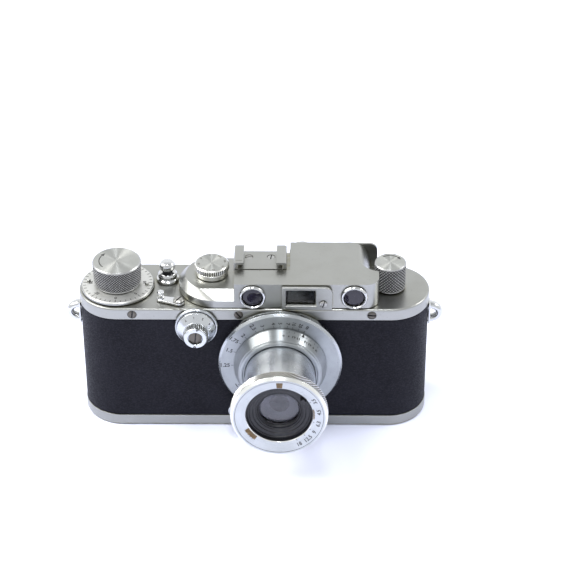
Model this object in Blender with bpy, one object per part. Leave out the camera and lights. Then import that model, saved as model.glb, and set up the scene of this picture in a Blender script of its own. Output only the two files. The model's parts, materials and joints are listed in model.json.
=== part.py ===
"""Rangefinder camera with a collapsible lens, modelled as the separate pieces it is built from.

Frame: +X runs along the camera, to the right as it is seen from the front. The lens looks along -Y.
+Z is up. The origin is the centre of the base plate's bottom face. Sizes are in metres.
Turned pieces are given as profiles of (radius, height), where height runs along the piece's axis.
For a piece on a forward axis, height is the distance in front of the body's middle plane.
"""

import math

import bmesh
import bpy

MM = 0.001
GAP = 0.3 * MM

# Driving dimensions of the body
BODY_LENGTH = 133.0 * MM
BODY_DEPTH = 30.5 * MM
DECK_TOP = 55.0 * MM
RIM_RADIUS = BODY_DEPTH / 2
END_X = BODY_LENGTH / 2 - RIM_RADIUS
COVERING_RADIUS = RIM_RADIUS - 0.2 * MM
RIM_INNER_RADIUS = RIM_RADIUS - 0.75 * MM
SHELL_RADIUS = RIM_INNER_RADIUS - GAP
SHELL_WALL = 1.0 * MM
EDGE_CHAMFER = 0.5 * MM
BASE_FLOOR = 1.0 * MM
BASE_RIM_TOP = 4.7 * MM
SKIRT_BOTTOM = 50.2 * MM
DECK_UNDERSIDE = DECK_TOP - 1.2 * MM

# Axes of the controls, as (x, y) on the deck
WIND_X = -51.8 * MM
REWIND_X = 51.4 * MM
RELEASE_X = -33.1 * MM
RELEASE_Y = 4.5 * MM
SPEED_X = -15.9 * MM
LEVER_X = -28.0 * MM
LEVER_Y = -11.4 * MM

# Axes of the pieces on the front, as (x, z)
LENS_X = 10.0 * MM
LENS_Z = 32.0 * MM
SLOW_X = -21.5 * MM
SLOW_Z = 47.6 * MM

# The lens, along its axis
TUBE_RADIUS = 13.2 * MM
TUBE_BORE = 12.0 * MM
SLEEVE_RADIUS = 14.1 * MM
THROAT_RADIUS = 15.5 * MM
FLANGE_RADIUS = 23.4 * MM
FLANGE_FACE = 19.3 * MM
FOCUS_RADIUS = 17.5 * MM
FOCUS_FACE = 26.0 * MM
TUBE_BACK = 13.5 * MM
SLEEVE_BACK = 8.5 * MM
HEAD_RADIUS = 18.0 * MM
HEAD_BACK = 46.2 * MM
HEAD_FACE = 51.0 * MM
HEAD_BORE = 12.3 * MM
FOCUS_ARM_ANGLE = 229.0
APERTURE_TAB_ANGLE = 38.0

# The finder housing on the deck
HOUSING_TOP = 65.8 * MM
HOUSING_FRONT = 14.5 * MM
HOUSING_BACK = 14.1 * MM
HOUSING_LEFT = -7.2 * MM
HOUSING_RIGHT = 46.9 * MM
HOUSING_WALL = 1.0 * MM
STRIP_BACK = -4.8 * MM
BLOCK_LEFT = 13.6 * MM
SHOE_BED_BACK = 8.2 * MM
SHOE_BED_TOP = 64.9 * MM
PEDESTAL_X = -14.0 * MM
PEDESTAL_RADIUS = 14.5 * MM
PEDESTAL_BEVEL = 58.2 * MM
PEDESTAL_TOP = 61.0 * MM
PLATEAU_RADIUS = 11.9 * MM
PLATEAU_FRONT = 10.3 * MM
SCOOP_LEFT = 39.2 * MM
SCOOP_BACK = 13.1 * MM
SCOOP_RADIUS = 10.3 * MM
SCOOP_Y = 4.5 * MM
WINDOW_Z = 60.4 * MM
WINDOW_X = {"left": -0.3 * MM, "right": 37.6 * MM}
FINDER_WINDOW = (12.4 * MM, 57.3 * MM, 23.0 * MM, 63.8 * MM)
FINDER_EYE_X = 17.9 * MM
FINDER_EYE_Z = 60.9 * MM
RANGE_EYE_X = 36.0 * MM
RANGE_EYE_Z = 60.1 * MM

# The accessory shoe
SHOE_X = (-7.5 * MM, 12.3 * MM)
SHOE_SLOT_X = (-3.8 * MM, 8.5 * MM)
SHOE_FLOOR = 66.0 * MM
SHOE_TOP = 68.8 * MM
SHOE_FRONT = -4.5 * MM
SHOE_BACK = 7.6 * MM

# The film gate and the shutter inside
GATE_WIDTH = 36.0 * MM
GATE_HEIGHT = 24.0 * MM
INSIDE_BOTTOM = 9.5 * MM
INSIDE_TOP = 48.0 * MM
SHAFT_RADIUS = 2.0 * MM
DRUM_RADIUS = 7.6 * MM
SPROCKET_TEETH = 8
ROLLER_X = 33.0 * MM
ARM_PIVOT_X = 26.0 * MM
ARM_PIVOT_Y = -4.0 * MM
ARM_ROLLER = 0.6 * MM

# Steps around a circle
FINE = 36
ROUND = 24
SMALL = 16
TINY = 10
SHARP_ANGLE = math.radians(32)

# How each way of lying is turned: the local Z axis points up, forward or back
UP = (0.0, 0.0, 0.0)
FORWARD = (math.pi / 2, 0.0, 0.0)
BACKWARD = (-math.pi / 2, 0.0, 0.0)

# Base colour, roughness and metallic value of each finish
FINISHES = {
    "satin_chrome": ((0.68, 0.68, 0.65), 0.34, 1.0),
    "polished_chrome": ((0.78, 0.79, 0.80), 0.12, 1.0),
    "lens_chrome": ((0.70, 0.72, 0.74), 0.25, 1.0),
    "covering": ((0.020, 0.020, 0.026), 0.55, 0.0),
    "black_metal": ((0.015, 0.015, 0.018), 0.45, 0.3),
    "dark_screw": ((0.16, 0.15, 0.13), 0.40, 1.0),
    "steel": ((0.50, 0.50, 0.50), 0.30, 1.0),
    "brass": ((0.62, 0.46, 0.20), 0.30, 1.0),
    "alloy": ((0.45, 0.45, 0.46), 0.55, 1.0),
    "curtain_cloth": ((0.02, 0.02, 0.02), 0.90, 0.0),
    "dark_glass": ((0.03, 0.03, 0.05), 0.05, 0.0),
    "lens_glass": ((0.30, 0.32, 0.40), 0.03, 0.0),
}


# ---------------------------------------------------------------- tools

def clear_scene():
    for item in list(bpy.data.objects):
        bpy.data.objects.remove(item, do_unlink=True)


def finish_material(name, finish):
    colour, roughness, metallic = FINISHES[finish]
    material = bpy.data.materials.new(name)
    material.use_nodes = True
    shader = material.node_tree.nodes["Principled BSDF"]
    shader.inputs["Base Color"].default_value = (*colour, 1.0)
    shader.inputs["Roughness"].default_value = roughness
    shader.inputs["Metallic"].default_value = metallic
    return material


def add_object(name, shape, finish, location=(0, 0, 0), rotation=UP):
    """Turns a finished bmesh into a named object. A tool, which has no finish, is hidden later."""
    bmesh.ops.recalc_face_normals(shape, faces=shape.faces)
    mesh = bpy.data.meshes.new(name)
    shape.to_mesh(mesh)
    shape.free()
    mesh.shade_smooth()
    mesh.set_sharp_from_angle(angle=SHARP_ANGLE)
    if finish:
        mesh.materials.append(finish_material(name, finish))
    item = bpy.data.objects.new(name, mesh)
    item.location = location
    item.rotation_euler = rotation
    bpy.context.scene.collection.objects.link(item)
    return item


def combine(target, tool, operation):
    """Joins or cuts with another object, which then serves only as a tool."""
    modifier = target.modifiers.new(operation.lower(), 'BOOLEAN')
    modifier.operation = operation
    modifier.solver = 'EXACT'
    modifier.object = tool
    tool.hide_render = True
    tool.display_type = 'WIRE'


def cut(target, tool):
    combine(target, tool, 'DIFFERENCE')


def join(target, tool):
    combine(target, tool, 'UNION')


def arc(centre, radius, start, end, steps):
    """Points along an arc from one angle to another, in degrees, with both ends."""
    points = []
    for step in range(steps + 1):
        angle = math.radians(start + (end - start) * step / steps)
        x = centre[0] + radius * math.cos(angle)
        y = centre[1] + radius * math.sin(angle)
        points.append((x, y))
    return points


def turn_outline(points, degrees):
    angle = math.radians(degrees)
    c = math.cos(angle)
    s = math.sin(angle)
    return [(x * c - y * s, x * s + y * c) for x, y in points]


def bar(start, end, width):
    """Outline of a straight bar along X."""
    return [(start, -width / 2), (end, -width / 2), (end, width / 2), (start, width / 2)]


def at_height(outline, height):
    return [(x, y, height) for x, y in outline]


def loft(name, loops, finish, location=(0, 0, 0), rotation=UP, closed=False):
    """Solid through loops of points. A closed one runs on from its last loop to its first."""
    shape = bmesh.new()
    rows = [[shape.verts.new(point) for point in loop] for loop in loops]
    pairs = list(zip(rows, rows[1:]))
    if closed:
        pairs.append((rows[-1], rows[0]))
    else:
        shape.faces.new(rows[0])
        shape.faces.new(rows[-1])
    count = len(rows[0])
    for near, far in pairs:
        for i in range(count):
            j = (i + 1) % count
            shape.faces.new((near[i], near[j], far[j], far[i]))
    return add_object(name, shape, finish, location, rotation)


def prism(name, outline, low, high, finish, location=(0, 0, 0), rotation=UP):
    return loft(name, [at_height(outline, low), at_height(outline, high)], finish, location, rotation)


def hollow_prism(name, outer, inner, low, high, finish, location=(0, 0, 0), rotation=UP):
    """Prism with a hole whose outline has as many points as the outer one."""
    loops = [at_height(outer, low), at_height(outer, high), at_height(inner, high), at_height(inner, low)]
    return loft(name, loops, finish, location, rotation, closed=True)


def box(name, low, high, finish):
    outline = [(low[0], low[1]), (high[0], low[1]), (high[0], high[1]), (low[0], high[1])]
    return prism(name, outline, low[2], high[2], finish)


def turned(name, profile, finish, location=(0, 0, 0), rotation=UP, steps=ROUND):
    """Solid of revolution of a closed profile, or of one that starts and ends on the axis."""
    shape = bmesh.new()
    verts = [shape.verts.new((radius, 0, height)) for radius, height in profile]
    edges = [shape.edges.new(pair) for pair in zip(verts, verts[1:])]
    if profile[0][0] > 0:
        edges.append(shape.edges.new((verts[-1], verts[0])))
    bmesh.ops.spin(shape, geom=verts + edges, cent=(0, 0, 0), axis=(0, 0, 1),
                   angle=math.tau, steps=steps, use_merge=True)
    bmesh.ops.remove_doubles(shape, verts=shape.verts, dist=0.001 * MM)
    return add_object(name, shape, finish, location, rotation)


def cylinder(name, radius, low, high, finish, location=(0, 0, 0), rotation=UP, steps=SMALL):
    profile = [(0, low), (radius, low), (radius, high), (0, high)]
    return turned(name, profile, finish, location, rotation, steps)


def drill(target, radius, low, high, location, rotation=UP, steps=SMALL):
    cut(target, cylinder("drill", radius, low, high, None, location, rotation, steps))


def millimetres(points):
    """Profile points written in millimetres, as metres."""
    return [(a * MM, b * MM) for a, b in points]


def stadium(radius):
    """Plan outline of the body: two half circles around the end centres."""
    right = arc((END_X, 0), radius, -90, 90, FINE // 2)
    left = arc((-END_X, 0), radius, 90, 270, FINE // 2)
    return right + left


# ---------------------------------------------------------------- body

def build_shells():
    shell = hollow_prism("body_shell", stadium(SHELL_RADIUS), stadium(SHELL_RADIUS - SHELL_WALL),
                         BASE_FLOOR + GAP, DECK_UNDERSIDE - GAP, "alloy")
    covering = hollow_prism("body_covering", stadium(COVERING_RADIUS), stadium(RIM_INNER_RADIUS),
                            BASE_RIM_TOP + GAP, SKIRT_BOTTOM - GAP, "covering")
    for skin in (shell, covering):
        drill(skin, THROAT_RADIUS, 10 * MM, 20 * MM, (LENS_X, 0, LENS_Z), FORWARD, ROUND)
        drill(skin, 2.8 * MM, 10 * MM, 20 * MM, (SLOW_X, 0, SLOW_Z), FORWARD)


def build_base_plate():
    levels = [
        (RIM_INNER_RADIUS, BASE_FLOOR),
        (RIM_INNER_RADIUS, BASE_RIM_TOP),
        (RIM_RADIUS, BASE_RIM_TOP),
        (RIM_RADIUS, EDGE_CHAMFER),
        (RIM_RADIUS - EDGE_CHAMFER, 0),
    ]
    plate = loft("base_plate", [at_height(stadium(r), z) for r, z in levels], "satin_chrome")
    drill(plate, 6.5 * MM, -1 * MM, 3 * MM, (REWIND_X, 0, 0), UP, ROUND)
    drill(plate, 6.8 * MM, -1 * MM, 3 * MM, (WIND_X, 0, 0), UP, ROUND)

    bush = millimetres([(0, 6.0), (4.76, 6.0), (4.76, 0.2), (6.5, 0.2), (6.5, 1.3), (8.0, 1.3),
                        (8.0, 2.0), (6.5, 2.0), (6.5, 7.0), (0, 7.0)])
    turned("tripod_bush", bush, "steel", (WIND_X, 0, 0), UP, SMALL)


def build_base_lock():
    """The disc that locks the base plate, with a D-shaped key folded flat into its recess."""
    hinge_y = 2.2 * MM
    hinge_z = 1.0 * MM
    key_radius = 4.0 * MM
    recess_radius = key_radius + 0.35 * MM
    profile = millimetres([(0, 0.2), (6.2, 0.2), (6.2, 1.3), (7.5, 1.3), (7.5, 3.2), (0, 3.2)])
    disc = turned("lock_disc", profile, "polished_chrome", (REWIND_X, 0, 0), UP, ROUND)
    corner_y = hinge_y + 1.1 * MM
    recess = arc((0, hinge_y), recess_radius, 180, 360, TINY)
    recess += [(recess_radius, corner_y), (-recess_radius, corner_y)]
    cut(disc, prism("recess", recess, -1 * MM, 2.1 * MM, None, (REWIND_X, 0, 0)))

    half = 0.6 * MM
    outer = arc((0, 0), key_radius, 180, 360, TINY)
    outer += [(key_radius, half), (-key_radius, half)]
    inner = arc((0, -half), key_radius - 1.4 * MM, 180, 360, TINY)
    inner += [(1.5 * MM, -half), (-1.5 * MM, -half)]
    hollow_prism("lock_key", outer, inner, -half, half, "polished_chrome", (REWIND_X, hinge_y, hinge_z))


def build_top_plate():
    levels = [
        (RIM_INNER_RADIUS, DECK_UNDERSIDE),
        (RIM_INNER_RADIUS, SKIRT_BOTTOM),
        (RIM_RADIUS, SKIRT_BOTTOM),
        (RIM_RADIUS, DECK_TOP - EDGE_CHAMFER),
        (RIM_RADIUS - EDGE_CHAMFER, DECK_TOP),
    ]
    plate = loft("top_plate", [at_height(stadium(r), z) for r, z in levels], "satin_chrome")
    bottom = DECK_UNDERSIDE - 1 * MM
    top = DECK_TOP + 1 * MM
    for x, y in ((WIND_X, 0), (SPEED_X, 0), (RELEASE_X, RELEASE_Y), (REWIND_X, 0)):
        drill(plate, SHAFT_RADIUS + GAP, bottom, top, (x, y, 0))
    screws = [(-45.5, FORWARD), (-5.5, FORWARD), (44.3, FORWARD), (-45.5, BACKWARD), (44.3, BACKWARD)]
    for number, (x, facing) in enumerate(screws, 1):
        place = (x * MM, 0, 52.5 * MM)
        drill(plate, 1.9 * MM, 14 * MM, 16 * MM, place, facing, TINY)
        profile = millimetres([(0, 14.6), (1.0, 14.6), (1.6, 14.9), (1.6, 15.3), (1.2, 15.45), (0, 15.45)])
        turned(f"rim_screw_{number}", profile, "dark_screw", place, facing, TINY)


def build_strap_lugs():
    """Eyelets for the strap at both ends, with their holes along Y."""
    foot_x = END_X + COVERING_RADIUS + GAP
    for side, direction in (("left", -1), ("right", 1)):
        outer = [(foot_x + 2.6 * MM * (1 + math.cos(a)), 4.7 * MM * math.sin(a)) for a in angles(TINY)]
        outer = [(max(x, foot_x), z) for x, z in outer]
        hole_x = foot_x + 2.9 * MM
        inner = [(hole_x + 1.4 * MM * math.cos(a), 2.2 * MM * math.sin(a)) for a in angles(TINY)]
        outer = [(x * direction, z) for x, z in outer]
        inner = [(x * direction, z) for x, z in inner]
        hollow_prism(f"strap_lug_{side}", outer, inner, -2 * MM, 2 * MM, "polished_chrome",
                     (0, 0, 44 * MM), FORWARD)


def angles(count):
    return [math.tau * step / count for step in range(count)]


# ---------------------------------------------------------------- finder

def pedestal_outline(radius, front, back, right):
    """Round left end around the pedestal's centre, cut straight at the front and at the back."""
    first = 180 - math.degrees(math.asin(min(1.0, back / radius)))
    last = 180 + math.degrees(math.asin(min(1.0, front / radius)))
    return arc((PEDESTAL_X, 0), radius, first, last, SMALL) + [(right, -front), (right, back)]


def housing_outline():
    corner = 4.0 * MM
    return [
        (HOUSING_LEFT, STRIP_BACK),
        (HOUSING_LEFT, -HOUSING_FRONT),
        *arc((HOUSING_RIGHT - corner, corner - HOUSING_FRONT), corner, -90, 0, 6),
        (HOUSING_RIGHT, HOUSING_BACK),
        (BLOCK_LEFT, HOUSING_BACK),
        (BLOCK_LEFT, STRIP_BACK),
    ]


def scoop():
    """The space cut out beside the rewind knob: rolls off to the right and leaves a thin rear wing."""
    far = 60 * MM
    centre = (SCOOP_LEFT + SCOOP_RADIUS, SCOOP_Y)
    plan = arc(centre, SCOOP_RADIUS, 180, 300, TINY)
    plan += [(far, plan[-1][1]), (far, SCOOP_BACK), (SCOOP_LEFT, SCOOP_BACK)]
    plan_tool = prism("scoop_plan", plan, 50 * MM, 70 * MM, None)
    width = 5.0 * MM
    height = HOUSING_TOP - DECK_TOP
    side = []
    for step in range(TINY + 1):
        angle = math.pi / 2 * step / TINY
        side.append((SCOOP_LEFT + width * math.sin(angle), DECK_TOP + height * math.cos(angle)))
    side += [(SCOOP_LEFT + width, 50 * MM), (far, 50 * MM), (far, 70 * MM), (SCOOP_LEFT, 70 * MM)]
    tool = prism("scoop", side, -20 * MM, 20 * MM, None, (0, 0, 0), FORWARD)
    combine(tool, plan_tool, 'INTERSECT')
    return tool


def build_finder_housing():
    low = DECK_TOP + GAP
    right = BLOCK_LEFT + 0.4 * MM
    back = HOUSING_BACK
    housing = loft("finder_housing", [
        at_height(pedestal_outline(PEDESTAL_RADIUS, HOUSING_FRONT, back, right), low),
        at_height(pedestal_outline(PEDESTAL_RADIUS, HOUSING_FRONT, back, right), PEDESTAL_BEVEL),
        at_height(pedestal_outline(PLATEAU_RADIUS, PLATEAU_FRONT, PLATEAU_FRONT, right), PEDESTAL_TOP),
    ], "satin_chrome")
    join(housing, prism("block", housing_outline(), low, HOUSING_TOP, None))
    join(housing, box("shoe_bed", (HOUSING_LEFT, STRIP_BACK - 1 * MM, low + 1 * MM),
                      (BLOCK_LEFT + 1 * MM, SHOE_BED_BACK, SHOE_BED_TOP), None))
    cut(housing, scoop())
    wing = 3.0 * MM
    corner = (HOUSING_RIGHT - wing, HOUSING_TOP - wing)
    beyond = (HOUSING_RIGHT + wing, HOUSING_TOP + wing)
    outside = arc(corner, wing, 0, 90, 6)
    outside += [(corner[0], beyond[1]), beyond, (beyond[0], corner[1])]
    cut(housing, prism("wing_corner", outside, -20 * MM, -SCOOP_BACK + 1 * MM, None, (0, 0, 0), FORWARD))
    hollow_housing(housing)
    pierce_housing(housing)


def hollow_housing(housing):
    """Cavities that leave a wall all round: the pedestal, the block and the bed of the shoe."""
    wall = HOUSING_WALL
    below = DECK_TOP - 1 * MM
    right = BLOCK_LEFT + 2 * MM
    straight = pedestal_outline(PEDESTAL_RADIUS - wall, HOUSING_FRONT - wall, HOUSING_BACK - wall, right)
    plateau = pedestal_outline(PLATEAU_RADIUS - wall, PLATEAU_FRONT - wall, PLATEAU_FRONT - wall, right)
    cut(housing, loft("pedestal_cavity", [
        at_height(straight, below),
        at_height(straight, PEDESTAL_BEVEL - wall / 2),
        at_height(plateau, PEDESTAL_TOP - wall),
    ], None))
    front = wall - HOUSING_FRONT
    side = HOUSING_RIGHT - wall
    block = [
        (HOUSING_LEFT + wall, front),
        (side - 3 * MM, front),
        (side, front + 3 * MM),
        (side, -7.2 * MM),
        (41.5 * MM, -5.6 * MM),
        (SCOOP_LEFT - wall, -1.0 * MM),
        (SCOOP_LEFT - wall, HOUSING_BACK - wall),
        (BLOCK_LEFT + wall, HOUSING_BACK - wall),
        (BLOCK_LEFT + wall, STRIP_BACK - wall),
        (HOUSING_LEFT + wall, STRIP_BACK - wall),
    ]
    cut(housing, prism("block_cavity", block, below, HOUSING_TOP - wall, None))
    cut(housing, box("bed_cavity", (HOUSING_LEFT + wall, STRIP_BACK - 2 * wall, below),
                     (right, SHOE_BED_BACK - wall, SHOE_BED_TOP - wall), None))


def pierce_housing(housing):
    for x in WINDOW_X.values():
        drill(housing, 4.0 * MM, 12 * MM, 16 * MM, (x, 0, WINDOW_Z), FORWARD)
    left, bottom, right, top = FINDER_WINDOW
    cut(housing, box("finder_opening", (left, -16 * MM, bottom), (right, -12 * MM, top), None))
    drill(housing, 2.8 * MM, 12 * MM, 16 * MM, (FINDER_EYE_X, 0, FINDER_EYE_Z), BACKWARD)
    drill(housing, 2.8 * MM, 12 * MM, 16 * MM, (RANGE_EYE_X, 0, RANGE_EYE_Z), BACKWARD)
    drill(housing, SHAFT_RADIUS + GAP, 58 * MM, 63 * MM, (SPEED_X, 0, 0))


def build_windows():
    for side, x in WINDOW_X.items():
        place = (x, 0, WINDOW_Z)
        bezel = millimetres([(3.9, 14.8), (4.8, 14.8), (5.0, 15.1), (4.9, 15.7), (4.5, 16.0), (3.9, 15.8)])
        turned(f"window_bezel_{side}", bezel, "polished_chrome", place, FORWARD, ROUND)
        glass = millimetres([(0, 13.6), (3.6, 13.6), (3.6, 15.2), (0, 15.3)])
        turned(f"window_glass_{side}", glass, "dark_glass", place, FORWARD, SMALL)


def build_viewfinder():
    left, bottom, right, top = FINDER_WINDOW
    plate_left = 10.7 * MM
    plate_right = 29.4 * MM
    plate_top = 65.4 * MM
    corner = 2.5 * MM
    outline = [(plate_left, DECK_TOP + GAP), (plate_right, DECK_TOP + GAP)]
    outline += arc((plate_right - corner, plate_top - corner), corner, 0, 90, 6)
    outline.append((plate_left, plate_top))
    front = HOUSING_FRONT + 1.5 * MM
    frame = prism("viewfinder_frame", outline, HOUSING_FRONT + GAP, front, "polished_chrome",
                  (0, 0, 0), FORWARD)
    cut(frame, box("frame_opening", (left, -20 * MM, bottom), (right, -12 * MM, top), None))
    box("viewfinder_glass", (left + GAP, GAP - HOUSING_FRONT, bottom + GAP),
        (right - GAP, 1.5 * MM - HOUSING_FRONT, top - GAP), "dark_glass")
    screw = millimetres([(0, 16.3), (1.4, 16.3), (1.4, 16.6), (0.9, 16.9), (0, 16.9)])
    turned("viewfinder_screw", screw, "steel", (26.1 * MM, 0, 58.2 * MM), FORWARD, TINY)


def build_eyepieces():
    finder = millimetres([(2.5, 14.4), (4.6, 14.4), (4.6, 15.6), (4.0, 16.2), (3.0, 16.2), (2.5, 15.7)])
    turned("viewfinder_eyepiece", finder, "polished_chrome",
           (FINDER_EYE_X, 0, FINDER_EYE_Z), BACKWARD, SMALL)
    ranger = millimetres([(2.5, 14.4), (3.2, 14.4), (3.2, 15.9), (4.4, 15.9), (4.4, 16.4), (3.0, 16.6),
                          (2.5, 16.2)])
    place = (RANGE_EYE_X, 0, RANGE_EYE_Z)
    turned("rangefinder_eyepiece", ranger, "polished_chrome", place, BACKWARD, SMALL)
    ring = millimetres([(3.5, 14.4), (4.6, 14.4), (4.6, 15.6), (3.5, 15.6)])
    lever = turned("diopter_lever", ring, "polished_chrome", place, BACKWARD, SMALL)
    join(lever, prism("lever_tab", bar(4.2 * MM, 8.0 * MM, 2.0 * MM), 14.6 * MM, 15.5 * MM, None,
                      place, BACKWARD))


def build_accessory_shoe():
    """A folded plate that lies in the housing's bed, with two rails whose lips hold a foot."""
    left, right = SHOE_X
    slot_left, slot_right = SHOE_SLOT_X
    fold = 1.2 * MM
    lip = SHOE_TOP - 1.0 * MM
    bottom = SHOE_BED_TOP + GAP
    land = SHOE_FLOOR + 0.1 * MM
    outline = [
        (left, bottom), (right, bottom), (right, SHOE_TOP),
        (slot_right, SHOE_TOP), (slot_right, lip), (right - fold, lip), (right - fold, SHOE_FLOOR),
        (slot_right - GAP, SHOE_FLOOR), (slot_right - GAP, land),
        (slot_left + GAP, land), (slot_left + GAP, SHOE_FLOOR),
        (left + fold, SHOE_FLOOR), (left + fold, lip), (slot_left, lip),
        (slot_left, SHOE_TOP), (left, SHOE_TOP),
    ]
    prism("accessory_shoe", outline, -SHOE_BACK, -SHOE_FRONT, "satin_chrome", (0, 0, 0), FORWARD)


# ---------------------------------------------------------------- controls on the deck

def build_wind():
    knob = millimetres([(0, 60.3), (2.3, 60.3), (2.3, 56.9), (8.2, 56.9), (8.2, 57.6), (9.0, 57.6),
                        (9.3, 65.8), (8.5, 66.7), (0, 66.7)])
    turned("wind_knob", knob, "satin_chrome", (WIND_X, 0, 0), UP, FINE)
    cylinder("wind_shaft", SHAFT_RADIUS, 9 * MM, 60 * MM, "steel", (WIND_X, 0, 0))
    profile = millimetres([(2.3, 55.3), (13.85, 55.3), (13.85, 56.1), (13.3, 56.6), (2.3, 56.6)])
    dial = turned("counter_dial", profile, "satin_chrome", (WIND_X, 0, 0), UP, FINE)
    for degrees in (175, 355):
        x, y = turn_outline([(11.2 * MM, 0)], degrees)[0]
        place = (WIND_X + x, y, 0)
        join(dial, cylinder("finger_pin", 0.75 * MM, 56 * MM, 57.5 * MM, None, place, UP, TINY))
    spool = [(SHAFT_RADIUS + GAP, INSIDE_BOTTOM)]
    spool += millimetres([(11.0, 9.5), (11.0, 10.7), (5.5, 10.7), (5.5, 46.8), (11.0, 46.8), (11.0, 48.0)])
    spool.append((SHAFT_RADIUS + GAP, INSIDE_TOP))
    turned("take_up_spool", spool, "black_metal", (WIND_X, 0, 0), UP, SMALL)


def build_sprocket():
    """Film sprocket: a drum with a ring of eight teeth near each end."""
    root = 4.0 * MM
    tip = 5.2 * MM

    def ring(height, peak):
        turns = angles(2 * SPROCKET_TEETH)
        radii = [peak, root] * SPROCKET_TEETH
        return [(r * math.cos(a), r * math.sin(a), height) for r, a in zip(radii, turns)]

    loops = [ring(INSIDE_BOTTOM, root)]
    for middle in (13.0 * MM, 44.0 * MM):
        loops.append(ring(middle - 0.9 * MM, root))
        loops.append(ring(middle - 0.4 * MM, tip))
        loops.append(ring(middle + 0.4 * MM, tip))
        loops.append(ring(middle + 0.9 * MM, root))
    loops.append(ring(INSIDE_TOP, root))
    loft("sprocket_shaft", loops, "steel", (RELEASE_X, RELEASE_Y, 0))


def build_rewind():
    shaft = cylinder("rewind_shaft", SHAFT_RADIUS, 45 * MM, 61.2 * MM, "steel", (REWIND_X, 0, 0))
    slot = bar(-3 * MM, 3 * MM, 1.2 * MM)
    cut(shaft, prism("fork_slot", slot, 44 * MM, 47.5 * MM, None, (REWIND_X, 0, 0)))
    knob = millimetres([(0, 61.5), (2.3, 61.5), (2.3, 55.6), (5.6, 55.6), (6.05, 56.0), (6.05, 65.8),
                        (5.5, 66.5), (0, 66.5)])
    turned("rewind_knob", knob, "satin_chrome", (REWIND_X, 0, 0), UP, ROUND)


def build_release():
    place = (RELEASE_X, RELEASE_Y, 0)
    collar = millimetres([(1.9, 55.3), (4.3, 55.3), (4.3, 56.2), (3.6, 56.7), (3.7, 57.9), (3.1, 58.6),
                          (1.9, 58.6)])
    turned("release_collar", collar, "polished_chrome", place, UP, SMALL)
    button = millimetres([(0, 50.5), (1.6, 50.5), (1.6, 60.2), (2.7, 60.3), (3.05, 60.9), (2.9, 62.1),
                          (1.9, 63.1), (0, 63.4)])
    turned("release_button", button, "polished_chrome", place, UP, SMALL)


def build_reversing_lever():
    """Lever that sets the film transport to advance or to rewind."""
    reach = 7.1 * MM
    rest_angle = math.radians(164)
    place = (LEVER_X, LEVER_Y, 0)
    turn = (0, 0, rest_angle)
    low = DECK_TOP + GAP
    outline = arc((0, 0), 2.2 * MM, 90, 270, 8) + arc((reach, 0), 1.6 * MM, -90, 90, 8)
    lever = prism("reversing_lever", outline, low, low + 0.8 * MM, "polished_chrome", place, turn)
    x, y = turn_outline([(reach, 0)], 164)[0]
    post = millimetres([(0, 55.5), (1.3, 55.5), (1.5, 58.6), (1.1, 59.3), (0, 59.3)])
    join(lever, turned("lever_post", post, None, (LEVER_X + x, LEVER_Y + y, 0), UP, TINY))
    drill(lever, 1.3 * MM, 54 * MM, 57 * MM, place, UP, TINY)
    screw = millimetres([(0, 55.3), (1.0, 55.3), (1.0, 56.4), (2.1, 56.4), (2.1, 56.8), (1.4, 57.3),
                         (0, 57.3)])
    turned("reversing_lever_screw", screw, "steel", place, UP, TINY)


def build_speed_dial():
    spindle_top = 63.9 * MM
    drum = [
        (0, INSIDE_BOTTOM),
        (DRUM_RADIUS, INSIDE_BOTTOM),
        (DRUM_RADIUS, INSIDE_TOP),
        (SHAFT_RADIUS, INSIDE_TOP),
        (SHAFT_RADIUS, spindle_top),
        (0, spindle_top),
    ]
    turned("shutter_drum", drum, "steel", (SPEED_X, 0, 0), UP, SMALL)
    dial = millimetres([(0, 64.2), (2.3, 64.2), (2.3, 61.3), (6.1, 61.3), (6.1, 63.2), (6.55, 63.5),
                        (6.55, 65.4), (6.1, 65.9), (0, 65.9)])
    turned("speed_dial", dial, "satin_chrome", (SPEED_X, 0, 0), UP, ROUND)


def build_slow_dial():
    place = (SLOW_X, 0, SLOW_Z)
    base = millimetres([(2.8, 15.6), (8.2, 15.6), (8.2, 16.2), (7.9, 16.9), (2.8, 16.9)])
    turned("slow_dial_base", base, "polished_chrome", place, FORWARD, ROUND)
    dial = millimetres([(0, 11.8), (2.0, 11.8), (2.0, 17.2), (7.4, 17.2), (7.2, 17.8), (5.0, 19.8),
                        (4.65, 20.0), (4.65, 23.6), (4.2, 24.0), (2.75, 24.0), (2.75, 22.4), (0, 22.4)])
    turned("slow_speed_dial", dial, "polished_chrome", place, FORWARD, ROUND)
    screw = millimetres([(0, 22.7), (2.4, 22.7), (2.4, 23.3), (2.1, 23.6), (0, 23.6)])
    turned("slow_speed_screw", screw, "dark_screw", place, FORWARD, TINY)


# ---------------------------------------------------------------- inside

def build_chassis():
    """Frame that holds the shutter: a lower and an upper plate and the film gate behind them."""
    left = -20.0 * MM
    right = 36.0 * MM
    front = -11.5 * MM
    gate_front = 10.4 * MM
    gate_back = 11.4 * MM
    low = 7.5 * MM
    high = 51.6 * MM
    chassis = box("chassis", (left, gate_front, low), (right, gate_back, high), "alloy")
    join(chassis, box("lower_plate", (left, front, low), (right, gate_front + GAP, low + 1 * MM), None))
    join(chassis, box("upper_plate", (left, front, high - 1 * MM), (right, gate_front + GAP, high), None))
    half_width = GATE_WIDTH / 2
    half_height = GATE_HEIGHT / 2
    cut(chassis, box("gate", (LENS_X - half_width, gate_front - 1 * MM, LENS_Z - half_height),
                     (LENS_X + half_width, gate_back + 1 * MM, LENS_Z + half_height), None))
    drill(chassis, SHAFT_RADIUS + GAP, high - 2 * MM, high + 1 * MM, (SPEED_X, 0, 0))


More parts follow.
